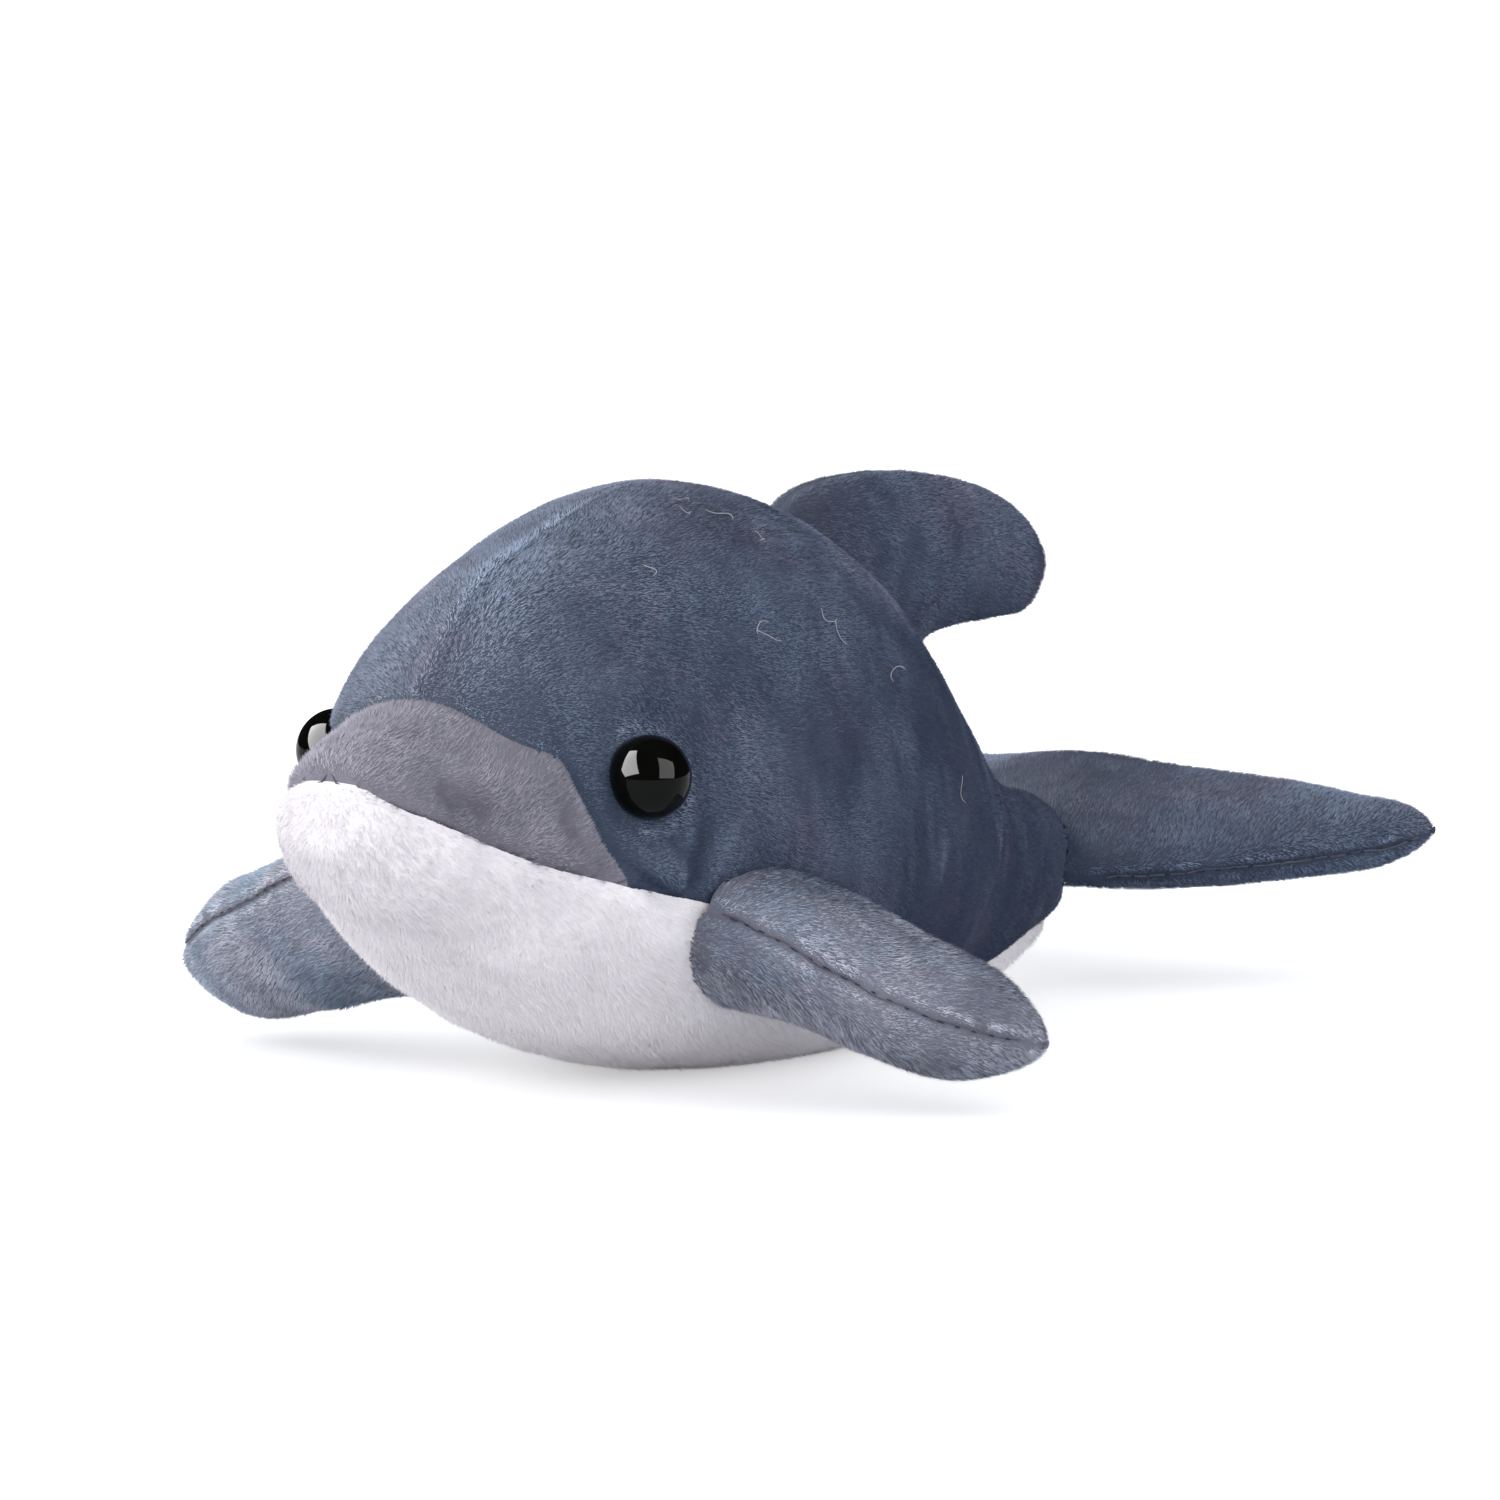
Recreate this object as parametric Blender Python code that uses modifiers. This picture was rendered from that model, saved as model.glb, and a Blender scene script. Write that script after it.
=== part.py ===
"""A small stuffed plush dolphin, lying on its belly with its flippers spread.

Metres, +Z up. The dolphin looks along -Y and its left side is +X. The origin is on
the floor, under the middle of the toy. Cloth panels are thin shells sewn edge to
edge over loose fibre fillings, and two domed eyes are clipped through the head.
"""

import math

import bmesh
import bpy
from mathutils import Matrix, Vector

MM = 0.001

# The body, from the nose to the end of the tail stock
BODY_LENGTH = 158.0 * MM
BODY_WIDTH = 60.0 * MM
BODY_HEIGHT = 72.5 * MM
NOSE_Y = -90.4 * MM

# Cloth and sewing
PLUSH = 1.5 * MM  # backing and pile together
GAP = 0.3 * MM  # left wherever two pieces meet

# Sections of the body, as shares of its length, half width and height: the place
# along it, the half width, then the heights of the top, widest line and underside
SECTIONS = [
    (0.000, 0.00, 0.48, 0.48, 0.48),
    (0.014, 0.24, 0.596, 0.515, 0.43),
    (0.052, 0.38, 0.64, 0.482, 0.35),
    (0.115, 0.547, 0.682, 0.435, 0.28),
    (0.200, 0.797, 0.847, 0.407, 0.155),
    (0.300, 0.96, 0.935, 0.376, 0.052),
    (0.400, 1.00, 0.984, 0.37, 0.00),
    (0.510, 1.00, 0.955, 0.36, -0.035),
    (0.620, 0.88, 0.855, 0.335, -0.04),
    (0.720, 0.67, 0.68, 0.295, -0.04),
    (0.810, 0.475, 0.49, 0.25, -0.03),
    (0.890, 0.34, 0.38, 0.22, 0.02),
    (0.960, 0.26, 0.335, 0.22, 0.09),
    (1.000, 0.00, 0.22, 0.22, 0.22),
]
# Squareness of the sections above and below their widest line: 2 is an ellipse
FULLNESS_OVER = 1.97
FULLNESS_UNDER = 1.95

# Seams seen from the side, as shares of the body's length and height
CHIN_SEAM = [
    (-0.05, 0.625),
    (0.00, 0.60),
    (0.03, 0.547),
    (0.08, 0.487),
    (0.15, 0.413),
    (0.26, 0.342),
    (0.38, 0.28),
    (0.50, 0.22),
    (0.64, 0.125),
    (0.80, 0.07),
    (0.97, 0.12),
    (1.05, 0.13),
]
SNOUT_SEAM = [(0.205, 0.30), (0.183, 0.45), (0.162, 0.59), (0.124, 0.69), (0.10, 1.10)]

# Eyes
EYE_RADIUS = 5.0 * MM
EYE_DOME = 5.0 * MM
EYE_SKIRT = 0.8 * MM  # the straight edge under the dome
EYE_ALONG = 0.219  # share of the body's length
EYE_UP = 0.56  # share of the body's height
EYE_SEAT_SINK = 2.3 * MM  # how far the clipped eye pulls the cloth in
EYE_SEAT_EDGE = 6.0 * MM  # flat out to here
EYE_PULL_EDGE = 13.0 * MM  # and level with the head again here
SHANK_RADIUS = 1.3 * MM
SHANK_LENGTH = 7.0 * MM
WASHER_RADIUS = 5.2 * MM
WASHER_THICKNESS = 1.4 * MM

# Stuffed fins. Each row is a line of cloth from the front edge to the back edge, as
# shares of the fin's own sizes, then how far it swells to either side of the seam.

# Flippers: across, then front along and up, back along and up, swell up and down
FLIPPER_ROOT = (0.72, 0.32, 0.175)  # shares of the body's half width, length, height
FLIPPER_SPAN = 39.5 * MM
FLIPPER_CHORD = 27.0 * MM
FLIPPER_THICKNESS = 19.0 * MM
FLIPPER_ROWS = [
    (-0.13, -0.395, 0.725, 0.555, 0.21, 0.43, 0.53),
    (0.25, -0.33, 0.54, 0.61, 0.10, 0.43, 0.48),
    (0.53, -0.16, 0.215, 0.65, -0.005, 0.37, 0.48),
    (0.79, 0.04, -0.05, 0.61, -0.13, 0.33, 0.40),
    (1.01, 0.37, -0.20, 0.37, -0.20, 0.00, 0.00),
]
# The right flipper was sewn on turned further forward and up
RIGHT_FLIPPER_ROWS = [
    (-0.13, -0.395, 0.725, 0.555, 0.21, 0.43, 0.64),
    (0.25, -0.39, 0.62, 0.58, 0.03, 0.43, 0.60),
    (0.53, -0.27, 0.38, 0.60, -0.14, 0.39, 0.53),
    (0.79, -0.10, 0.15, 0.54, -0.26, 0.35, 0.45),
    (1.01, 0.21, -0.14, 0.21, -0.14, 0.00, 0.00),
]

# Dorsal fin: front along and up, back along and up, swell to each side
FIN_BASE = 0.605  # share of the body's length where its front edge starts
FIN_LENGTH = 48.0 * MM
FIN_HEIGHT = 19.0 * MM
FIN_THICKNESS = 12.0 * MM
FIN_LEAN = 7.0 * MM  # of the tip, to the dolphin's left
FIN_ROWS = [
    (-0.11, -0.14, 0.48, -1.10, 0.50),
    (0.05, 0.22, 0.58, -0.90, 0.54),
    (0.36, 0.30, 0.70, -0.84, 0.50),
    (0.68, 0.21, 0.82, -0.82, 0.44),
    (0.90, -0.01, 0.95, -0.77, 0.36),
    (1.02, -0.40, 1.02, -0.40, 0.00),
]

# Tail flukes, from the middle to a tip: across, front along and up, back along and
# up, swell up and down
FLUKE_ROOT = 0.93  # share of the body's length
FLUKE_SPAN = 92.0 * MM
FLUKE_CHORD = 26.0 * MM
FLUKE_THICKNESS = 11.0 * MM
FLUKE_ROWS = [
    (0.00, -0.04, -0.20, 0.96, 0.95, 0.45, 0.45),
    (0.41, 0.19, -0.11, 1.27, 0.70, 0.45, 0.50),
    (0.73, 0.61, 0.05, 1.27, 0.58, 0.38, 0.45),
    (0.91, 0.92, 0.18, 1.26, 0.50, 0.32, 0.36),
    (1.00, 1.16, 0.36, 1.16, 0.36, 0.00, 0.00),
]

# How finely the cloth is drawn
STEPS_PER_SECTION = 3
STEPS_ROUND = 32
POUCH_ALONG = 10
POUCH_ACROSS = 7
TURNS = 24
EYE_STEPS = 7


def read_curve(values, t):
    """A smooth curve through evenly spaced values, which has one more at each end."""
    i = max(0, min(int(t), len(values) - 4))
    f = t - i
    a, b, c, d = values[i : i + 4]
    return 0.5 * (
        2 * b
        + (c - a) * f
        + (2 * a - 5 * b + 4 * c - d) * f**2
        + (3 * b - a - 3 * c + d) * f**3
    )


def body_columns():
    """The section sizes in metres, each carried round the nose and the tail end."""
    rows = []
    for along, half, top, wide, under in SECTIONS:
        half *= BODY_WIDTH / 2
        heights = [h * BODY_HEIGHT for h in (top, wide, under)]
        rows.append([NOSE_Y + along * BODY_LENGTH, half] + heights)
    first, last = rows[1], rows[-2]
    before = [first[0], -first[1], first[4], first[3], first[2]]
    after = [last[0], -last[1], last[4], last[3], last[2]]
    return list(zip(*([before] + rows + [after])))


COLUMNS = body_columns()
BODY_END = float(len(SECTIONS) - 1)


def signed_power(value, power):
    return math.copysign(abs(value) ** power, value)


def bare_skin(t, angle):
    """A point of the body before it lies on the floor, at an angle above its side."""
    y, half, top, wide, under = (read_curve(column, t) for column in COLUMNS)
    power = 2 / (FULLNESS_OVER if math.sin(angle) > 0 else FULLNESS_UNDER)
    x = half * signed_power(math.cos(angle), power)
    rise = signed_power(math.sin(angle), power)
    z = wide + rise * ((top - wide) if rise > 0 else (wide - under))
    return Vector((x, y, z))


def outward(surface, t, angle):
    """The direction straight out of a surface of the body."""
    if t < 0.01:
        return Vector((0, -1, 0))
    if t > BODY_END - 0.01:
        return Vector((0, 1, 0))
    step = 0.01
    along = surface(t + step, angle) - surface(t - step, angle)
    round_it = surface(t, angle + step) - surface(t, angle - step)
    return along.cross(round_it).normalized()


def section_at(share):
    """The place in the section list that is this share of the body's length."""
    low, high = 0.0, BODY_END
    for _ in range(40):
        middle = (low + high) / 2
        if read_curve(COLUMNS[0], middle) < NOSE_Y + share * BODY_LENGTH:
            low = middle
        else:
            high = middle
    return low


def find_eye():
    """Centre and outward direction of the left eye's seat."""
    t = section_at(EYE_ALONG)
    low, high = 0.0, math.pi / 2
    for _ in range(40):
        middle = (low + high) / 2
        if bare_skin(t, middle).z < EYE_UP * BODY_HEIGHT:
            low = middle
        else:
            high = middle
    out = outward(bare_skin, t, low)
    return bare_skin(t, low) - out * EYE_SEAT_SINK, out


EYE_CENTRE, EYE_OUT = find_eye()


def mirrored(vector):
    return Vector((-vector.x, vector.y, vector.z))


def smooth_step(value):
    value = max(0.0, min(1.0, value))
    return value * value * (3 - 2 * value)


def pulled_skin(t, angle):
    """The body with its cloth drawn flat under the clipped eyes."""
    point = bare_skin(t, angle)
    for centre, out in ((EYE_CENTRE, EYE_OUT), (mirrored(EYE_CENTRE), mirrored(EYE_OUT))):
        offset = point - centre
        height = offset.dot(out)
        reach = (offset - out * height).length
        pull = 1 - smooth_step((reach - EYE_SEAT_EDGE) / (EYE_PULL_EDGE - EYE_SEAT_EDGE))
        if abs(height) < EYE_PULL_EDGE:
            point = point - out * height * pull
    return point


def skin(t, angle, inset=0.0):
    """A point of the cloth as it rests, or of a surface this far inside it."""
    point = pulled_skin(t, angle) - outward(pulled_skin, t, angle) * inset
    point.z = max(point.z, inset)
    return point


# Meshes


def new_object(name, builder, collection, turn_out=True):
    mesh = bpy.data.meshes.new(name)
    if turn_out:
        bmesh.ops.recalc_face_normals(builder, faces=builder.faces)
    builder.to_mesh(mesh)
    builder.free()
    made = bpy.data.objects.new(name, mesh)
    collection.objects.link(made)
    return made


def add_closed_skin(builder, inset, steps_round, steps_along, hollow):
    """The closed surface of the body, this far inside the cloth."""
    count = int(BODY_END * steps_along)
    rings = []
    for i in range(1, count):
        t = i / steps_along
        angles = [2 * math.pi * j / steps_round for j in range(steps_round)]
        rings.append([builder.verts.new(skin(t, angle, inset)) for angle in angles])
    nose = builder.verts.new(skin(0, 0, inset))
    tail = builder.verts.new(skin(BODY_END, 0, inset))
    faces = []
    for j in range(steps_round):
        k = (j + 1) % steps_round
        faces.append((nose, rings[0][k], rings[0][j]))
        faces.append((tail, rings[-1][j], rings[-1][k]))
        for near, far in zip(rings, rings[1:]):
            faces.append((near[j], near[k], far[k]))
            faces.append((near[j], far[k], far[j]))
    for face in faces:
        builder.faces.new(face if hollow else face[::-1])


def skin_object(name, insets, collection, steps_round, steps_along):
    """A solid body, or with two insets a shell whose second surface is its hollow."""
    builder = bmesh.new()
    for i, inset in enumerate(insets):
        add_closed_skin(builder, inset, steps_round, steps_along, hollow=i > 0)
    return new_object(name, builder, collection, turn_out=False)


def prism(name, outline, low_x, high_x, collection):
    """A side-view outline of (along, up) points made solid from low_x to high_x."""
    builder = bmesh.new()
    left = [builder.verts.new((high_x, y, z)) for y, z in outline]
    right = [builder.verts.new((low_x, y, z)) for y, z in outline]
    builder.faces.new(left)
    builder.faces.new(right[::-1])
    for i in range(len(outline)):
        j = (i + 1) % len(outline)
        builder.faces.new((left[i], right[i], right[j], left[j]))
    return new_object(name, builder, collection)


def side_curve(points, steps=6):
    """A smooth side-view line through points given in shares of the body."""
    ends = [[2 * p - q for p, q in zip(points[0], points[1])]]
    ends += [list(point) for point in points]
    ends.append([2 * p - q for p, q in zip(points[-1], points[-2])])
    along, up = zip(*ends)
    count = (len(points) - 1) * steps
    line = []
    for i in range(count + 1):
        t = i / steps
        y = NOSE_Y + read_curve(along, t) * BODY_LENGTH
        line.append((y, read_curve(up, t) * BODY_HEIGHT))
    return line


def cut_with(made, cutter, operation):
    modifier = made.modifiers.new(cutter.name, "BOOLEAN")
    modifier.operation = operation
    modifier.solver = "EXACT"
    modifier.object = cutter


def revolved(name, profile, collection):
    """A profile of (radius, height) points, listed from the top down, turned about Z.

    A profile that doesn't start on the axis is closed into a ring.
    """
    mesh = bpy.data.meshes.new(name)
    points = [(r, 0, z) for r, z in profile]
    edges = [(i, i + 1) for i in range(len(points) - 1)]
    if profile[0][0] > 0:
        edges.append((len(points) - 1, 0))
    mesh.from_pydata(points, edges, [])
    made = bpy.data.objects.new(name, mesh)
    collection.objects.link(made)
    turn = made.modifiers.new("turn", "SCREW")
    turn.steps = turn.render_steps = TURNS
    turn.use_merge_vertices = True
    turn.merge_threshold = 0.00001
    return made


def place(made, centre, out):
    turned = out.to_track_quat("Z", "Y").to_matrix().to_4x4()
    made.matrix_world = Matrix.Translation(centre) @ turned


# Stuffed fins


class Pouch:
    """Two pieces of cloth sewn round their edge and stuffed."""

    def __init__(self, rows, open_start, upright):
        self.rows = rows
        self.open_start = open_start
        self.upright = upright

    def inside(self, inset):
        """The rows of the same pouch, this far inside its surface."""
        rows = []
        last = len(self.rows) - 1
        for i, (front, back, up, down) in enumerate(self.rows):
            if i == last or (i == 0 and not self.open_start):
                toward = self.rows[i - 1] if i else self.rows[1]
                middle = (toward[0] + toward[1]) / 2
                front = back = front + (middle - front).normalized() * inset
            else:
                across = (back - front).normalized() * inset
                front, back = front + across, back - across
                up, down = up - inset, down - inset
            rows.append((front, back, up, down))
        first, end = rows[1], rows[-2]
        if self.open_start:
            before = tuple(2 * p - q for p, q in zip(rows[0], rows[1]))
        else:
            before = (first[1], first[0], -first[2], -first[3])
        after = (end[1], end[0], -end[2], -end[3])
        return [before] + rows + [after]

    def point(self, rows, s, turn, lift):
        """Place s along the rows, at an angle round the section from the front edge."""
        front, back, up, down = (read_curve(column, s) for column in zip(*rows))
        step = 0.05
        t = min(max(s, step), len(self.rows) - 1 - step)
        columns = list(zip(*rows))
        ahead = read_curve(columns[0], t + step) + read_curve(columns[1], t + step)
        behind = read_curve(columns[0], t - step) + read_curve(columns[1], t - step)
        across = read_curve(columns[1], t) - read_curve(columns[0], t)
        normal = (ahead - behind).cross(across).normalized()
        if normal.dot(self.upright) < 0:
            normal = -normal
        centre = front.lerp(back, (1 - math.cos(turn)) / 2)
        rise = math.sin(turn)
        swell = up if rise >= 0 else down
        return centre + normal * (rise * swell + lift)

    def rings(self, builder, inset, turns, lift):
        """Rings of points along the pouch, then its first and last point."""
        rows = self.inside(inset)
        last = len(self.rows) - 1
        count = POUCH_ALONG if self.open_start else 2 * POUCH_ALONG
        start = 0 if self.open_start else 1
        rings = []
        for i in range(start, count):
            s = last * i / count
            rings.append([builder.verts.new(self.point(rows, s, a, lift)) for a in turns])
        tip = builder.verts.new(self.point(rows, last, 0, lift))
        root = None if self.open_start else builder.verts.new(self.point(rows, 0, 0, lift))
        return rings, root, tip


def cover(builder, rings, root, tip, closed):
    """Faces over the rings; closed joins each ring's end to its start."""
    count = len(rings[0])
    for j in range(count if closed else count - 1):
        k = (j + 1) % count
        for near, far in zip(rings, rings[1:]):
            builder.faces.new((near[j], near[k], far[k]))
            builder.faces.new((near[j], far[k], far[j]))
        builder.faces.new((rings[-1][j], rings[-1][k], tip))
        if root:
            builder.faces.new((rings[0][k], rings[0][j], root))


def pouch_half(name, pouch, side, collection):
    """One of the two pieces of cloth: side is 1 for the upper and -1 for the lower."""
    builder = bmesh.new()
    turns = [side * math.pi * j / POUCH_ACROSS for j in range(POUCH_ACROSS + 1)]
    layers = [pouch.rings(builder, inset, turns, side * GAP / 2) for inset in (0, PLUSH)]
    for rings, root, tip in layers:
        cover(builder, rings, root, tip, closed=False)
    (outer, root, tip), (inner, inner_root, inner_tip) = layers
    for j in (0, -1):
        out_line = [ring[j] for ring in outer] + [tip]
        in_line = [ring[j] for ring in inner] + [inner_tip]
        if root:
            out_line.insert(0, root)
            in_line.insert(0, inner_root)
        for i in range(len(out_line) - 1):
            builder.faces.new((out_line[i], out_line[i + 1], in_line[i + 1], in_line[i]))
    if not root:
        for j in range(POUCH_ACROSS):
            builder.faces.new((outer[0][j], outer[0][j + 1], inner[0][j + 1], inner[0][j]))
    return new_object(name, builder, collection)


def pouch_filling(name, pouch, collection):
    builder = bmesh.new()
    turns = [math.pi * j / POUCH_ACROSS for j in range(2 * POUCH_ACROSS)]
    rings, root, tip = pouch.rings(builder, PLUSH + GAP, turns, 0)
    cover(builder, rings, root, tip, closed=True)
    if not root:
        builder.faces.new(rings[0])
    return new_object(name, builder, collection)


def flipper(side):
    half, along, up = FLIPPER_ROOT
    root = Vector((half * BODY_WIDTH / 2, NOSE_Y + along * BODY_LENGTH, up * BODY_HEIGHT))
    rows = []
    sizes = FLIPPER_ROWS if side > 0 else RIGHT_FLIPPER_ROWS
    for across, front_y, front_z, back_y, back_z, rise, drop in sizes:
        ends = []
        for y, z in ((front_y, front_z), (back_y, back_z)):
            offset = Vector((across * FLIPPER_SPAN, y * FLIPPER_CHORD, z * FLIPPER_THICKNESS))
            point = root + offset
            ends.append(point if side > 0 else mirrored(point))
        rows.append((ends[0], ends[1], rise * FLIPPER_THICKNESS, drop * FLIPPER_THICKNESS))
    return Pouch(rows, True, Vector((0, 0, 1)))


def dorsal_fin():
    base = bare_skin(section_at(FIN_BASE), math.pi / 2)
    rows = []
    for front_y, front_z, back_y, back_z, swell in FIN_ROWS:
        ends = []
        for y, z in ((front_y, front_z), (back_y, back_z)):
            lean = FIN_LEAN * max(0, y) ** 2
            ends.append(base + Vector((lean, y * FIN_LENGTH, z * FIN_HEIGHT)))
        swell *= FIN_THICKNESS
        rows.append((ends[0], ends[1], swell, swell))
    return Pouch(rows, True, Vector((1, 0, 0)))


def flukes():
    root = bare_skin(section_at(FLUKE_ROOT), 0)
    left = []
    for across, front_y, front_z, back_y, back_z, rise, drop in FLUKE_ROWS:
        ends = []
        for y, z in ((front_y, front_z), (back_y, back_z)):
            offset = Vector((across * FLUKE_SPAN / 2, y * FLUKE_CHORD, z * FLUKE_THICKNESS))
            ends.append(Vector((0, root.y, root.z)) + offset)
        left.append((ends[0], ends[1], rise * FLUKE_THICKNESS, drop * FLUKE_THICKNESS))
    right = [(mirrored(a), mirrored(b), up, down) for a, b, up, down in left[:0:-1]]
    return Pouch(right + left, False, Vector((0, 0, 1)))


# The scene


def clear_scene():
    for old in list(bpy.data.objects):
        bpy.data.objects.remove(old)


def new_collection(name):
    made = bpy.data.collections.new(name)
    bpy.context.scene.collection.children.link(made)
    return made


def material(name, colour, roughness, sheen=0.0):
    made = bpy.data.materials.new(name)
    made.use_nodes = True
    shader = made.node_tree.nodes["Principled BSDF"]
    shader.inputs["Base Color"].default_value = (*colour, 1)
    shader.inputs["Roughness"].default_value = roughness
    shader.inputs["Sheen Weight"].default_value = sheen
    made.diffuse_color = (*colour, 1)
    return made


def finish(made, look):
    made.data.materials.clear()
    made.data.materials.append(look)
    for polygon in made.data.polygons:
        polygon.use_smooth = True


def hide(cutter):
    cutter.hide_render = True
    cutter.display_type = "WIRE"


def body_panels(dolphin, cutters):
    """The four pieces of cloth round the body, cut from one shell along its seams."""
    chin = side_curve(CHIN_SEAM)
    snout = side_curve(SNOUT_SEAM)
    wide = BODY_WIDTH
    high = 2 * BODY_HEIGHT
    half = GAP / 2
    front, back = chin[0][0], chin[-1][0]
    below_line = [(y, z - half) for y, z in chin] + [(back, -high), (front, -high)]
    above_line = [(y, z + half) for y, z in chin] + [(back, high), (front, high)]
    ahead_line = [(y - half, z) for y, z in snout]
    ahead_line += [(front, snout[-1][1]), (front, snout[0][1])]
    below = prism("below_chin_seam", below_line, -wide, wide, cutters)
    above = prism("above_chin_seam", above_line, -wide, wide, cutters)
    ahead = prism("ahead_of_snout_seam", ahead_line, -wide, wide, cutters)
    behind_line = [(y + half, z) for y, z in snout]
    behind_line += [(snout[-1][0] + half, high), (back, high)]
    behind_line += [(back, -high), (snout[0][0] + half, -high)]
    behind_left = prism("behind_snout_seam_left", behind_line, half, wide, cutters)
    behind_right = prism("behind_snout_seam_right", behind_line, -wide, -half, cutters)
    panels = {
        "belly_panel": (below,),
        "snout_panel": (above, ahead),
        "back_panel_left": (above, behind_left),
        "back_panel_right": (above, behind_right),
    }
    made = {}
    for name, regions in panels.items():
        made[name] = skin_object(name, (0, PLUSH), dolphin, STEPS_ROUND, STEPS_PER_SECTION)
        for region in regions:
            cut_with(made[name], region, "INTERSECT")
    return made


def clipped_eye(label, dolphin, cutters):
    """A domed eye, the washer on its shank, and the room they take from the cloth
    and the filling. All stand on the outer face of the cloth, looking up Z."""
    bore = SHANK_RADIUS + GAP
    dome = []
    for i in range(EYE_STEPS):
        a = math.pi / 2 * (1 - i / EYE_STEPS)
        dome.append((EYE_RADIUS * math.cos(a), GAP + EYE_SKIRT + EYE_DOME * math.sin(a)))
    dome[0] = (0, GAP + EYE_SKIRT + EYE_DOME)
    dome += [(EYE_RADIUS, GAP + EYE_SKIRT), (EYE_RADIUS, GAP)]
    shank = [(SHANK_RADIUS, GAP), (SHANK_RADIUS, -SHANK_LENGTH), (0, -SHANK_LENGTH)]
    eye = revolved(f"eye_{label}", dome + shank, dolphin)

    face = -PLUSH - GAP
    back = face - WASHER_THICKNESS
    ring = [(bore, face), (WASHER_RADIUS, face), (WASHER_RADIUS, back), (bore, back)]
    washer = revolved(f"eye_washer_{label}", ring, dolphin)

    bottom = -SHANK_LENGTH - GAP
    socket = EYE_RADIUS + GAP
    seat = GAP / 2
    through = [(bore, bottom), (0, bottom)]
    hole_line = [(0, EYE_DOME), (socket, EYE_DOME), (socket, seat), (bore, seat)]
    hole = revolved(f"shank_hole_{label}", hole_line + through, cutters)

    edge = WASHER_RADIUS + GAP
    floor = back - GAP
    pocket_line = [(0, EYE_DOME), (edge, EYE_DOME), (edge, floor), (bore, floor)]
    pocket = revolved(f"clip_pocket_{label}", pocket_line + through, cutters)
    return eye, washer, hole, pocket


def main():
    clear_scene()
    dolphin = new_collection("plush_dolphin")
    cutters = new_collection("cutters")
    cutters.hide_render = True

    back_plush = material("back_plush", (0.105, 0.140, 0.205), 0.9, 0.4)
    snout_plush = material("snout_plush", (0.215, 0.205, 0.250), 0.9, 0.4)
    flipper_plush = material("flipper_plush", (0.195, 0.190, 0.235), 0.9, 0.4)
    belly_plush = material("belly_plush", (0.80, 0.76, 0.78), 0.9, 0.3)
    eye_plastic = material("eye_plastic", (0.008, 0.009, 0.008), 0.08)
    washer_plastic = material("washer_plastic", (0.75, 0.75, 0.72), 0.5)
    fibre_fill = material("fibre_fill", (0.85, 0.85, 0.84), 1.0)

    panels = body_panels(dolphin, cutters)
    looks = {"belly_panel": belly_plush, "snout_panel": snout_plush}
    for name, made in panels.items():
        finish(made, looks.get(name, back_plush))

    filling = skin_object(
        "body_stuffing", (PLUSH + GAP,), dolphin, STEPS_ROUND, STEPS_PER_SECTION
    )
    finish(filling, fibre_fill)

    clearance = skin_object("body_clearance", (-GAP,), cutters, STEPS_ROUND, STEPS_PER_SECTION)
    fins = [
        ("flipper_left", flipper(1), ("upper", "lower"), flipper_plush),
        ("flipper_right", flipper(-1), ("upper", "lower"), flipper_plush),
        ("dorsal_fin", dorsal_fin(), ("left", "right"), back_plush),
        ("fluke", flukes(), ("upper", "lower"), back_plush),
    ]
    for name, pouch, sides, look in fins:
        cloth = [
            pouch_half(f"{name}_{sides[0]}", pouch, 1, dolphin),
            pouch_half(f"{name}_{sides[1]}", pouch, -1, dolphin),
        ]
        stuffing = pouch_filling(f"{name}_stuffing", pouch, dolphin)
        for made in cloth + [stuffing]:
            cut_with(made, clearance, "DIFFERENCE")
            finish(made, fibre_fill if made is stuffing else look)

    for label, centre, out in (
        ("left", EYE_CENTRE, EYE_OUT),
        ("right", mirrored(EYE_CENTRE), mirrored(EYE_OUT)),
    ):
        eye, washer, hole, pocket = clipped_eye(label, dolphin, cutters)
        for made in (eye, washer, hole, pocket):
            place(made, centre, out)
        finish(eye, eye_plastic)
        finish(washer, washer_plastic)
        cut_with(panels[f"back_panel_{label}"], hole, "DIFFERENCE")
        cut_with(filling, pocket, "DIFFERENCE")

    for cutter in cutters.objects:
        hide(cutter)


main()
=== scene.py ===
# %% [markdown]
# # A plush dolphin
#
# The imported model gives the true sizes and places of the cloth, the filling and the
# eyes. These cells put the look on it: soft cloth with seams and folds, short pile,
# sewing thread and glossy eyes, lit and seen as in the photo.

# %% The frame
import math

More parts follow.
